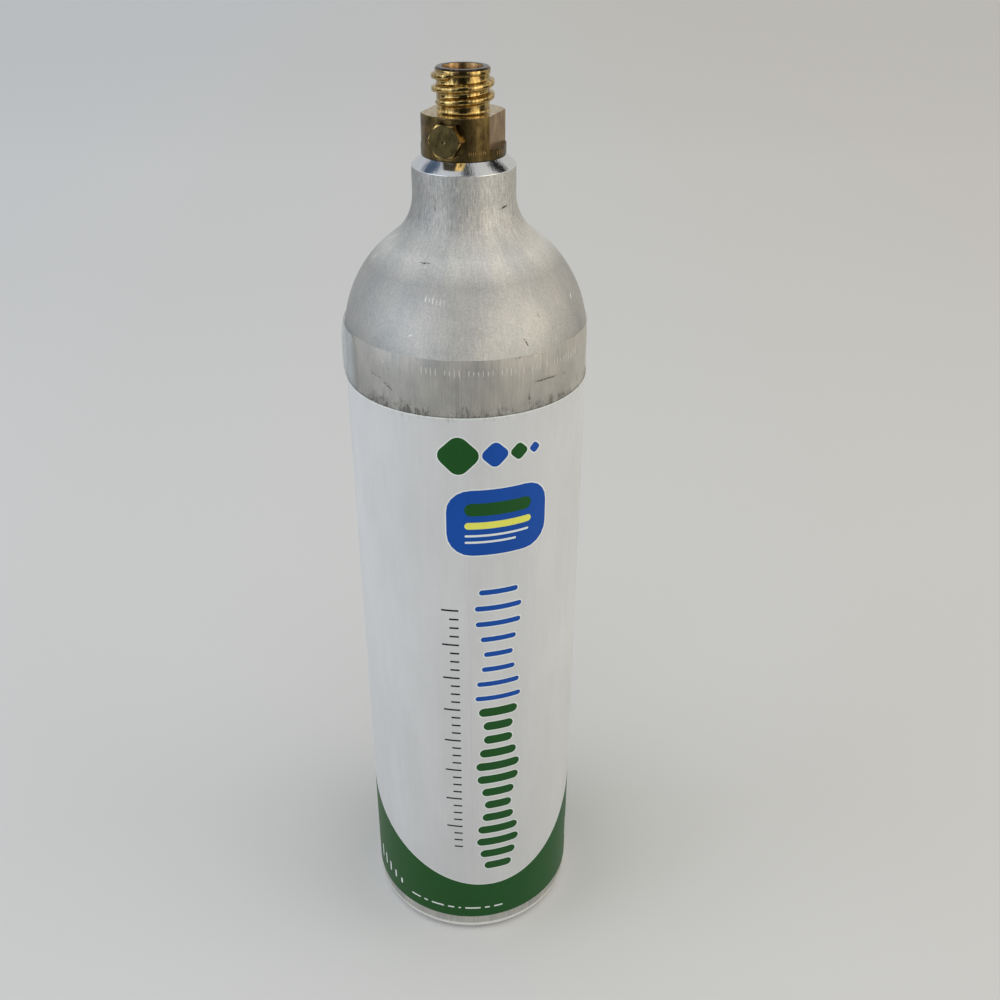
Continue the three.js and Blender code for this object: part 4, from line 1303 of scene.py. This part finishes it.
def wind(name, section, material, steps, **sizes):
    """Winds a closed section, in millimetres, into a coil and returns it as a plain mesh object."""
    curve = bpy.data.curves.new("section", "CURVE")
    spline = curve.splines.new("POLY")
    spline.points.add(len(section) - 1)
    for point, (x, y) in zip(spline.points, section):
        point.co = (x * MM, y * MM, 0, 1)
    spline.use_cyclic_u = True
    carrier = bpy.data.objects.new("section", curve)
    bpy.context.scene.collection.objects.link(carrier)
    step = carrier.modifiers.new("coil", "NODES")
    step.node_group = COIL
    set_inputs(step, COIL, {key.replace("_", " ").title(): float(value) for key, value in sizes.items()})
    set_inputs(step, COIL, {"Steps": steps, "Material": material})
    graph = bpy.context.evaluated_depsgraph_get()
    mesh = bpy.data.meshes.new_from_object(carrier.evaluated_get(graph))
    bpy.data.objects.remove(carrier)
    made = bpy.data.objects.new(name, mesh)
    bpy.context.scene.collection.objects.link(made)
    return made


print("coil tree:", len(COIL.nodes), "nodes,", len(COIL_INPUTS), "sizes")

# %% [markdown]
# ## Outlet thread
# A single-start trapezoidal thread, 21 mm across with a 4 mm pitch, takes just over two turns. Its crest
# is flat with rounded corners, and its flanks lean by 20 degrees. The lower end rises slowly out of the
# stub and the upper one stops short.

# %% Outlet thread
THREAD_RADIUS = 10.4
THREAD_PITCH = 4
THREAD_CREST = 1.6
THREAD_FLANK = math.radians(20)
THREAD_BOTTOM = 16.55
THREAD_START = math.radians(165)
THREAD_TURNS = 2.25
THREAD_EMBED = 0.4
THREAD_FILLET = 0.3
# Where the flank ends and the crest's corner begins, and the corner: below the crest, and in from its edge.
FLANK_END = 0.42
CREST_CORNER = [(0.19, 0.01), (0.05, 0.18), (0, 0.4)]


def ridge_section():
    """Half of the ridge from its foot, with a small fillet and a rounded corner, then its mirror image."""
    depth = THREAD_RADIUS - STUB_ROOT
    slope = math.tan(THREAD_FLANK)
    root = THREAD_CREST / 2 + depth * slope
    half = [
        (-THREAD_EMBED, root + THREAD_FILLET),
        (0, root + THREAD_FILLET),
        (0.1 * THREAD_FILLET, root + 0.4 * THREAD_FILLET),
        (THREAD_FILLET, root - THREAD_FILLET * slope),
        (depth - FLANK_END, THREAD_CREST / 2 + FLANK_END * slope),
        *((depth - below, THREAD_CREST / 2 - inward) for below, inward in CREST_CORNER),
    ]
    return [(x, -y) for x, y in half] + list(reversed(half))


thread = wind(
    "thread",
    ridge_section(),
    None,
    int(THREAD_TURNS * VALVE_SEGMENTS),
    radius=STUB_ROOT * MM,
    bottom=THREAD_BOTTOM * MM,
    top=(THREAD_BOTTOM + THREAD_PITCH * THREAD_TURNS) * MM,
    turns=THREAD_TURNS,
    start_angle=THREAD_START,
    run_in=0.2,
    run_out=0.06,
)
print("thread:", len(thread.data.polygons), "faces", [round(d / MM, 2) for d in thread.dimensions])
combine(valve, thread, "UNION")

# %% [markdown]
# With its thread joined on, the body is whole. Milling has made new faces, so each face's finish is
# picked by where the face lies and which way it looks. That could be painted by hand, but a rule goes
# along when a size changes. The piece then moves up onto the neck.

# %% Valve body in place
FLAT_SIDE = Vector((math.cos(math.radians(WRENCH_TURN)), -math.sin(math.radians(WRENCH_TURN)), 0))
IN_MOUTH = MOUTH_RADIUS - 0.02
RIM_FROM = STUB_HEIGHT - STUB_BEVEL - 0.05
STUB_FROM = COLLAR_HEIGHT - 0.05


def valve_finish(face):
    """A painted dark reflection on the rim, milled in the socket and on the flats, turned on the stub,
    tarnished elsewhere.
    """
    height, radius = face.center.z / MM, math.hypot(face.center.x, face.center.y) / MM
    if radius < IN_MOUTH:
        return MILLED_BRASS
    if height > STUB_FROM:
        return DARK_REFLECTION_BRASS if height > RIM_FROM else TURNED_BRASS
    on_flat = height > WRENCH_FLAT_BOTTOM and abs(face.normal.dot(FLAT_SIDE)) > 0.99
    return MILLED_BRASS if on_flat else DULL_BRASS


valve.name = "valve_body_visible"
give_finishes(valve, BRASSES, valve_finish)
valve.data.transform(Matrix.Translation((0, 0, NECK_TOP * MM)))
shade_flats(valve, 30)
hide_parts("valve_body")
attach(valve, "cylinder")
print("valve body:", len(valve.data.polygons), "faces, top at", round(VALVE_TOP, 2))

# %% [markdown]
# ## Burst disc plug
# A hexagonal plug holds the safety disc in the side of the collar. Its corners are turned off in a cone,
# which gives the curved lines on each flat: the hexagon is simply intersected with a turned shape. It is
# built upright on the axis and laid into the port at the end.

# %% Burst disc plug
PLUG_HEX = 10
PLUG_TURN = 2.5
PLUG_HEAD = 4.6
PLUG_BEVEL = 0.9
PLUG_BEVEL_REACH = 1.9
PLUG_FACE_RADIUS = 5.05
PLUG_EDGE = 0.2
PLUG_SHANK = PLUG_BORE - 0.1
PLUG_CUP = 2
PLUG_CUP_STOP = 1.6
PLUG_DIMPLE_RADIUS = 0.8
PLUG_DIMPLE_DEPTH = 0.5
VENT_RADIUS = 0.9
VENT_BELOW_CUP = 0.1
DISC_STACK = 1.3


def hexagon_block(bottom, top):
    """A hexagonal block on the axis."""
    corner = PLUG_HEX / math.sqrt(3)
    turns = [math.radians(60 * i + 30 - PLUG_TURN) for i in range(6)]
    ring = [(corner * math.cos(a), corner * math.sin(a)) for a in turns]
    points = [(x, y, z) for z in (bottom, top) for x, y in ring]
    sides = [(i, (i + 1) % 6, 6 + (i + 1) % 6, 6 + i) for i in range(6)]
    ends = [tuple(range(5, -1, -1)), tuple(range(6, 12))]
    return new_object("burst_disc_plug_visible", points, ends + sides)


def vent_tool(height):
    """A drill across the head."""
    outline = [(0, -PLUG_HEX), (VENT_RADIUS, -PLUG_HEX), (VENT_RADIUS, PLUG_HEX), (0, PLUG_HEX)]
    drill = lathe("tool", outline, 24)
    turn = Matrix.Rotation(math.radians(60 - PLUG_TURN), 4, "Z") @ Matrix.Rotation(math.pi / 2, 4, "Y")
    drill.data.transform(Matrix.Translation((0, 0, height * MM)) @ turn)
    return drill


def plug_finish(face):
    """Olive on the outer face and in its centre mark, a painted grey reflection on the lower sides, and
    golden elsewhere.
    """
    if face.normal.z > 0.97 or math.hypot(face.center.x, face.center.y) < (PLUG_DIMPLE_RADIUS + 0.1) * MM:
        return OLIVE_BRASS
    return GREY_REFLECTION_BRASS if face.normal.y < 0.3 and abs(face.normal.z) < 0.2 else TURNED_BRASS


head = SPOT_FACE + SEAT_GAP
tip = head + PLUG_HEAD
corner_cone = [
    (0, head - 1),
    (PLUG_HEX, head - 1),
    (PLUG_HEX, tip - PLUG_BEVEL * (PLUG_HEX - PLUG_FACE_RADIUS) / PLUG_BEVEL_REACH),
    (PLUG_FACE_RADIUS, tip),
    (PLUG_DIMPLE_RADIUS, tip),
    (0, tip - PLUG_DIMPLE_DEPTH),
]
inner = DISC_SEAT + DISC_STACK
stem = [(PLUG_CUP, inner), (PLUG_SHANK, inner), (PLUG_SHANK, head + 1), (PLUG_CUP, head + 1)]
cup_floor = tip - PLUG_CUP_STOP
plug = hexagon_block(head, tip)
combine(plug, lathe("tool", corner_cone, 96), "INTERSECT")
combine(plug, lathe("tool", stem, 72), "UNION")
combine(plug, lathe("tool", [(0, 0), (PLUG_CUP, 0), (PLUG_CUP, cup_floor), (0, cup_floor)], 48))
combine(plug, vent_tool(cup_floor - VENT_RADIUS - VENT_BELOW_CUP))
break_edges(plug, PLUG_EDGE)
give_finishes(plug, PLUG_BRASSES, plug_finish)
lay_in_port(plug, PORT_TURN, NECK_TOP + PORT_HEIGHT)
shade_flats(plug)
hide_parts("burst_disc_plug")
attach(plug, "cylinder")
print("burst disc plug:", len(plug.data.polygons), "faces")

# %% [markdown]
# ## Steel
# The pin and the spring are stainless steel. Ground and drawn steel is a bright, neutral grey that
# mirrors sharply, with very fine rings. A bump from noise that is stretched round the axis gives them,
# and one plain colour is enough, since the parts are small and lie deep.

# %% Steel finish
PIN_RADIUS = 1.25


def ground_steel():
    """Ground stainless steel: bright, with the wheel's fine rings."""
    material, tree, shader = new_material("stainless steel, ground", metallic=1.0, roughness=0.2)
    rings = turned_pattern(tree, 0.8333, 0.1111, detail=2.0, radius=PIN_RADIUS)
    surface(tree, shader, linear("#C9CACB"), rings, 0.2, 0.02)
    return material


STEEL = ground_steel()

# %% [markdown]
# ## Valve core and pin
# Down in the socket sits the screwed insert with its driver slot, and through it the steel pin that a
# machine presses to let gas out. The pin belongs to the moving body, so it slides when that body does.
# Both are turned, then cut: the insert by its slot, the pin by three gas flats on its guide land.

# %% Valve core and pin
CORE_SEGMENTS = 72
CORE_EDGE, PIN_EDGE = 0.15, 0.12
CORE_RADIUS = CORE_BORE - 0.1
CORE_PIN_BORE = 2.1
CORE_SEAT_RADIUS = 2.7
CORE_SEAT_RISE = 0.5
CORE_GROOVE_DEPTH = 1
CORE_GROOVE_WIDTH = 1.7
CORE_GROOVE_HEIGHT = 3.4
CORE_SLOT_WIDTH = 1.6
CORE_SLOT_DEPTH = 1.4
PIN_BEVEL = 0.4
PIN_LAND_RADIUS = 1.8
PIN_LAND_LENGTH = 3
PIN_LAND_FLAT = 1.35
PIN_LAND_DROP = 3.2

core_low, core_high = corners("core_insert")
core_bottom = core_low.z + CORE_SEAT_RISE
groove = core_bottom + CORE_GROOVE_HEIGHT
core_outline = [
    (CORE_PIN_BORE, core_low.z),
    (CORE_SEAT_RADIUS, core_low.z),
    (CORE_SEAT_RADIUS + CORE_SEAT_RISE, core_bottom),
    (CORE_RADIUS, core_bottom),
    (CORE_RADIUS, groove - CORE_GROOVE_WIDTH / 2),
    (CORE_RADIUS - CORE_GROOVE_DEPTH, groove - CORE_GROOVE_WIDTH / 2),
    (CORE_RADIUS - CORE_GROOVE_DEPTH, groove + CORE_GROOVE_WIDTH / 2),
    (CORE_RADIUS, groove + CORE_GROOVE_WIDTH / 2),
    (CORE_RADIUS, core_high.z),
    (CORE_PIN_BORE, core_high.z),
]
core = lathe("core_insert_visible", soften(core_outline, CORE_EDGE), CORE_SEGMENTS)
slot_low = (-CORE_BORE - 1, -CORE_SLOT_WIDTH / 2, core_high.z - CORE_SLOT_DEPTH)
combine(core, box_tool(slot_low, (CORE_BORE + 1, CORE_SLOT_WIDTH / 2, core_high.z + 1)))
break_edges(core, CUT_EDGE)

pin_low, pin_high = corners("valve_pin")
land_top = core_high.z - PIN_LAND_DROP
land_bottom = land_top - PIN_LAND_LENGTH
step_out = PIN_LAND_RADIUS - PIN_RADIUS
pin_outline = [
    (0, pin_low.z),
    (PIN_RADIUS, pin_low.z),
    (PIN_RADIUS, land_bottom - step_out),
    (PIN_LAND_RADIUS, land_bottom),
    (PIN_LAND_RADIUS, land_top),
    (PIN_RADIUS, land_top + step_out),
    (PIN_RADIUS, pin_high.z - PIN_BEVEL),
    (PIN_RADIUS - PIN_BEVEL, pin_high.z),
    (0, pin_high.z),
]
pin = lathe("valve_pin_visible", soften(pin_outline, PIN_EDGE), CORE_SEGMENTS)
for i in range(3):
    flat_low = (PIN_LAND_FLAT, -4, land_bottom - PIN_RADIUS)
    combine(pin, box_tool(flat_low, (6, 4, land_top + PIN_RADIUS), 120 * i))

for piece, node, body, finish, name in [
    (core, "core_insert", "cylinder", TURNED_BRASS, "brass"),
    (pin, "valve_pin", "pin_assembly", STEEL, "steel"),
]:
    give_finishes(piece, [finish])
    shade_flats(piece, 30)
    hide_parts(node)
    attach(piece, body)
    print(piece.name, len(piece.data.polygons), "faces")

# %% [markdown]
# ## Return spring
# The spring that closes the valve is wound by the same tree as the thread, with a round wire and a closed
# turn at each end. It stands on a fixed ledge, and its top follows the poppet.

# %% Return spring
WIRE_RADIUS = 0.45
WIRE_SIDES = 12
SPRING_MIDDLE = 2.95
SPRING_TURNS = 6
SPRING_STEPS = 48
CLOSED_PITCH = 2.05 * WIRE_RADIUS

spring_low, spring_high = corners("return_spring")
sides = [math.tau * i / WIRE_SIDES for i in range(WIRE_SIDES)]
spring = wind(
    "return_spring_wire",
    [(WIRE_RADIUS * math.cos(a), WIRE_RADIUS * math.sin(a)) for a in sides],
    STEEL,
    SPRING_TURNS * SPRING_STEPS,
    radius=SPRING_MIDDLE * MM,
    bottom=(spring_low.z + WIRE_RADIUS) * MM,
    top=(spring_high.z - WIRE_RADIUS) * MM,
    turns=SPRING_TURNS,
    end_turns=1,
    end_pitch=CLOSED_PITCH * MM,
    run_in=0.001,
    run_out=0.001,
)
shade(spring, 60)
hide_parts("return_spring")
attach(spring, "cylinder")
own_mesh(spring)

# %% [markdown]
# ## Punch marks
# The maker punches data into the shoulder and the collar. Here they are rows of plain strokes, upright
# and of different heights. They could be a bump in the metal's finish, but real strokes raise real edges,
# which catch light from any side. One small stroke is modelled, and a Geometry Nodes tree sets copies of
# it round the axis, each turned to face outwards, with some left out.


# %% Row of strokes round the axis
def stroke_row_tree():
    """Sets upright copies of the object's own mesh along an arc, with different heights and some left out."""
    floats = ["Radius", "Height", "Rise", "Start", "Step", "Share"]
    tree, size = new_tree("row of strokes", "Stroke", floats, ["Count", "Seed"])
    row = add_node(tree, "GeometryNodeMeshLine", {"Count": size["Count"], "Offset": (0, 0, 0)})
    index = add_node(tree, "GeometryNodeInputIndex")
    angle = add_node(tree, "ShaderNodeMath", [index, size["Step"], size["Start"]], operation="MULTIPLY_ADD")
    sine = add_node(tree, "ShaderNodeMath", [angle], operation="SINE")
    cosine = add_node(tree, "ShaderNodeMath", [angle], operation="COSINE")
    right = add_node(tree, "ShaderNodeMath", [sine, size["Radius"]], operation="MULTIPLY")
    back = add_node(tree, "ShaderNodeMath", [cosine, size["Radius"]], operation="MULTIPLY")
    front = add_node(tree, "ShaderNodeMath", [back, -1.0], operation="MULTIPLY")
    height = add_node(tree, "ShaderNodeMath", [index, size["Rise"], size["Height"]], operation="MULTIPLY_ADD")
    spot = add_node(tree, "ShaderNodeCombineXYZ", [right, front, height])
    placed = add_node(tree, "GeometryNodeSetPosition", {"Geometry": row, "Position": spot})
    facing = add_node(tree, "ShaderNodeCombineXYZ", [0.0, 0.0, angle])
    heights = {"Min": 0.35, "Max": 1.0, "Seed": 3}
    tall = add_node(tree, "FunctionNodeRandomValue", heights, data_type="FLOAT")
    stretch = add_node(tree, "ShaderNodeCombineXYZ", [1.0, 1.0, tall])
    drawn = add_node(tree, "FunctionNodeRandomValue", {"Seed": size["Seed"]}, data_type="FLOAT")
    kept = add_node(tree, "FunctionNodeCompare", {"A": drawn, "B": size["Share"]}, operation="LESS_THAN")
    inputs = {"Points": placed, "Selection": kept, "Instance": size["Stroke"]}
    inputs |= {"Rotation": facing, "Scale": stretch}
    return end_tree(tree, add_node(tree, "GeometryNodeInstanceOnPoints", inputs), size["Material"])


STROKES = stroke_row_tree()
STROKE_RADIUS = 0.17
STROKE_SEED = 7
Row = namedtuple("Row", "name node slot finish radius height rise start pitch count share half_length")
STRUCK = ("cylinder_shell", "shell", STRUCK_ALUMINIUM, SHELL_RADIUS - 0.05)
STAMPED = ("valve_body", "brass", MILLED_BRASS, COLLAR_RADIUS - 0.03)
ROWS = [
    Row("shoulder_strokes", *STRUCK, 273.7, -0.045, -20, 2.1, 39, 0.8, 1.7),
    Row("collar_strokes", *STAMPED, NECK_TOP + 2.6, 0, 7, 2.8, 10, 0.9, 0.75),
    Row("collar_side_strokes", *STAMPED, NECK_TOP + 9.4, 0, -64, 4.5, 4, 1, 0.9),
    Row("collar_step_strokes", *STAMPED, NECK_TOP + 1.9, 0, 50, 5, 4, 1, 0.9),
]

for row in ROWS:
    outline = arc(0, 0, STROKE_RADIUS, -90, 90, 6, row.half_length)
    strokes = lathe(row.name, [(max(x, 0), y) for x, y in outline], 10)
    step = strokes.modifiers.new("row", "NODES")
    step.node_group = STROKES
    values = {"Radius": row.radius * MM, "Height": row.height * MM, "Rise": row.rise * MM}
    values |= {"Start": math.radians(row.start), "Step": math.radians(row.pitch), "Count": row.count}
    values |= {"Share": float(row.share), "Seed": STROKE_SEED, "Material": row.finish}
    set_inputs(step, STROKES, values)
    settle(strokes)
    shade(strokes, 60)
    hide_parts(row.node)
    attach(strokes, "cylinder")
    print(row.name, len(strokes.data.polygons), "faces")

# %% [markdown]
# ## Pieces that stay as they are
# Seals, poppet, filter, ferrule, tube and disc are hidden inside, and the frame's own solids have the
# right shape. Each still gets what it is made of, since someone may take the valve apart.


# %% Inner finishes
def grained(name, code, size, spread, **values):
    """A plain material whose colour varies by a share in grains of some size, in millimetres."""
    material, tree, shader = new_material(name, **values)
    grain = grain_pattern(tree, size)
    colour = toned(tree, linear(code), grain, 0.3, 0.7, 1 - spread, 1 + spread)
    surface(tree, shader, colour, grain, 0.3, 0.03)
    return material


# Near black and matt, with the mould's fine grain.
RUBBER = grained("nitrile rubber, moulded", "#1C1C1E", 0.4, 0.2, roughness=0.62)
# Milky, with a soft sheen.
NYLON = grained("nylon, moulded", "#E2DDCB", 1.5, 0.03, roughness=0.45)
# Thin rolled foil: red, and brighter or duller in patches.
COPPER = grained("copper foil, rolled", "#B87350", 2, 0.08, roughness=0.32, metallic=1.0)
# Small grains fused together: rough, and dark in the pores between them.
SINTER = grained("sintered bronze", "#8F7245", 0.15, 0.35, roughness=0.75, metallic=1.0)
INNER_FINISHES = {
    "neck_o_ring": RUBBER,
    "core_o_ring": RUBBER,
    "poppet": TURNED_BRASS,
    "poppet_seal": NYLON,
    "inlet_filter": SINTER,
    "tube_ferrule": TURNED_BRASS,
    "anti_siphon_tube": NYLON,
    "burst_disc_gasket": NYLON,
    "burst_disc": COPPER,
}
for node, finish in INNER_FINISHES.items():
    for material_slot in frame["nodes"][node].material_slots:
        material_slot.material = finish
print("inner pieces finished:", len(INNER_FINISHES))

# %% [markdown]
# ## Stage
# A pale floor that runs far back stands in for a studio sweep. It isn't part of the object. It is matt
# paint without any mirror part, because at a low angle even a faint one would show the dark cloths of the
# studio.

# %% Floor
HALF_FLOOR = 6000


def sheet(name, outlines, material):
    """A flat sheet at the floor's height, made of quads, listed as corner pairs."""
    points, faces = [], []
    for (left, front), (right, back) in outlines:
        faces.append([len(points) + i for i in range(4)])
        points += [(x, y, 0) for x, y in [(left, front), (right, front), (right, back), (left, back)]]
    made = new_object(name, points, faces, [material])
    return made


# Painted light on the floor: the tint from side to side, and the paler floor far behind.
PAINTED_LIGHT_SIDES, PAINTED_LIGHT_BEHIND = (-700, 700), (200, 1400)


def painted_board():
    """Matt paint with painted light: cool at the left and warm at the right, and a little paler far behind.
    """
    material, tree, shader = new_material("matt painted board", roughness=0.85, specular_ior_level=0.0)
    right, back, _ = coordinates(tree)
    colour = drift(tree, right, *PAINTED_LIGHT_SIDES, linear("#C6C9CC"), linear("#C7C5BF"))
    connect(tree, toned(tree, colour, back, *PAINTED_LIGHT_BEHIND, 0.97, 1.12), shader.inputs["Base Color"])
    return material


sheet("floor", [((-HALF_FLOOR, -HALF_FLOOR), (HALF_FLOOR, HALF_FLOOR))], painted_board())
print("floor:", 2 * HALF_FLOOR * MM, "m square")

# %% [markdown]
# ## Light
# An even grey world, brighter to the sides and a little darker behind, and a panel overhead light the
# floor. Two tall soft panels stand in front, to the left and right, and only reflections see them: brass
# and polished metal show them as upright bands. Two fills that reflections don't see light the floor and
# the print instead. In a studio one lamp does both. Here they are apart, so that each can be set without
# a change to the other.

# %% World and lamps
WORLD_FRONT, WORLD_SIDE, WORLD_BACK = 0.77, 1.08, 0.84


def studio_world():
    """Pale surroundings, brighter to the sides, a little cool on the left and warm on the right."""
    world = bpy.data.worlds.new("studio")
    world.use_nodes = True
    tree = world.node_tree
    background = tree.nodes["Background"]
    direction = add_node(tree, "ShaderNodeTexCoord").outputs["Generated"]
    across, depth = add_node(tree, "ShaderNodeSeparateXYZ", [direction]).outputs[:2]
    squared = add_node(tree, "ShaderNodeMath", [across, across], operation="MULTIPLY")
    strength = zone(tree, (squared, 0.0, 1.0, WORLD_FRONT, WORLD_SIDE), (depth, 0.1, 0.7, 1.0, WORLD_BACK))
    connect(tree, strength, background.inputs["Strength"])
    colour = drift(tree, across, -1.0, 1.0, linear("#F2F7FF"), linear("#FFFAF0"))
    connect(tree, colour, background.inputs["Color"])
    return world


bpy.context.scene.world = studio_world()


def aimed(where, target):
    """A transform that puts something at a place, in metres, with its face towards a target."""
    turn = (Vector(target) - Vector(where)).to_track_quat("-Z", "Y").to_matrix().to_4x4()
    return Matrix.Translation(where) @ turn


def soft_panel(name, where, target, wide, tall, radiance, colour="#FFFFFF"):
    """A soft panel, as bright as a surface of that radiance."""
    lamp = bpy.data.objects.new(name, bpy.data.lights.new(name, "AREA"))
    bpy.context.scene.collection.objects.link(lamp)
    lamp.data.shape, lamp.data.size, lamp.data.size_y = "RECTANGLE", wide, tall
    lamp.data.energy = math.pi * wide * tall * radiance
    lamp.data.color = linear(colour)[:3]
    lamp.matrix_world = aimed(where, target)
    lamp.visible_camera = False
    return lamp


overhead = soft_panel("overhead panel", (0, -0.25, 1.3), (0, -0.05, 0), 0.8, 0.8, 1.7)
left = soft_panel("left panel", (-1.06, -0.57, 0.55), (0, 0, 0.55), 0.95, 0.9, 1.4, "#EAF2FF")
right = soft_panel("right panel", (0.98, -0.69, 0.55), (0, 0, 0.55), 0.95, 0.9, 1.65, "#FFF4E2")
left_fill = soft_panel("left fill", (-1.3, -0.3, 0.6), (0, 0, 0.15), 0.9, 0.9, 1.8, "#F2F6FF")
right_fill = soft_panel("right fill", (1.3, -0.3, 0.6), (0, 0, 0.15), 0.9, 0.9, 1.7, "#FFF8EE")
left.visible_diffuse = right.visible_diffuse = False
overhead.visible_glossy = left_fill.visible_glossy = right_fill.visible_glossy = False

# %% [markdown]
# Metal looks like metal through the dark parts in it. Between the panels and below lies black cloth,
# which only reflections can see. Three small cards hang above, where the chamfer of the neck mirrors
# them, and a flag stands where the camera would be, so the front of the brass mirrors something dark. An
# environment picture could hold all this, but plain sheets are easier to move.

# %% Cloths and cards
NECK_AIM, BODY_AIM = (0, 0, 0.33), (0, 0, 0.75)
# All are matt: felt that swallows light, and two painted cards that tint what mirrors them.
FELT = new_material("black felt", base_color=linear("#1A1A1A"), roughness=0.95)[0]
BLUE_CARD = new_material("blue-grey card", base_color=linear("#586E8C"), roughness=0.8)[0]
SLATE_CARD = new_material("slate card", base_color=linear("#42484B"), roughness=0.8)[0]
CLOTHS = [((-3, -3), (3, -1.0)), ((-3, -1.0), (-1.15, 0.5)), ((1.15, -1.0), (3, 0.5))]
CLOTH_HEIGHT = 2
CARDS = [
    ("left flag", (-0.63, 0.25, 1.03), NECK_AIM, 0.4, 0.44, BLUE_CARD),
    ("right flag", (0.63, 0.29, 0.985), NECK_AIM, 0.34, 0.44, FELT),
    ("middle card", (0.07, -0.24, 1.26), NECK_AIM, 0.25, 0.34, SLATE_CARD),
    ("camera flag", (0, -1.3, 0.75), BODY_AIM, 0.85, 1.4, FELT),
]

in_mm = [[(x / MM, y / MM) for x, y in pair] for pair in CLOTHS]
cloth = sheet("black cloth", in_mm, FELT)
cloth.data.transform(Matrix.Translation((0, 0, CLOTH_HEIGHT * MM)))
dark_things = [cloth]
for name, where, target, wide, tall, material in CARDS:
    half = (wide / 2 / MM, tall / 2 / MM)
    card = sheet(name, [((-half[0], -half[1]), half)], material)
    card.data.transform(aimed(where, target))
    dark_things.append(card)
for thing in dark_things:
    thing.visible_camera = thing.visible_diffuse = thing.visible_shadow = False
print("cloth and cards:", [thing.name for thing in dark_things])

# %% [markdown]
# ## Colour management
# The view transform is Standard, so a colour on screen is the colour that was computed.

# %% Colour management
bpy.context.scene.view_settings.view_transform = "Standard"
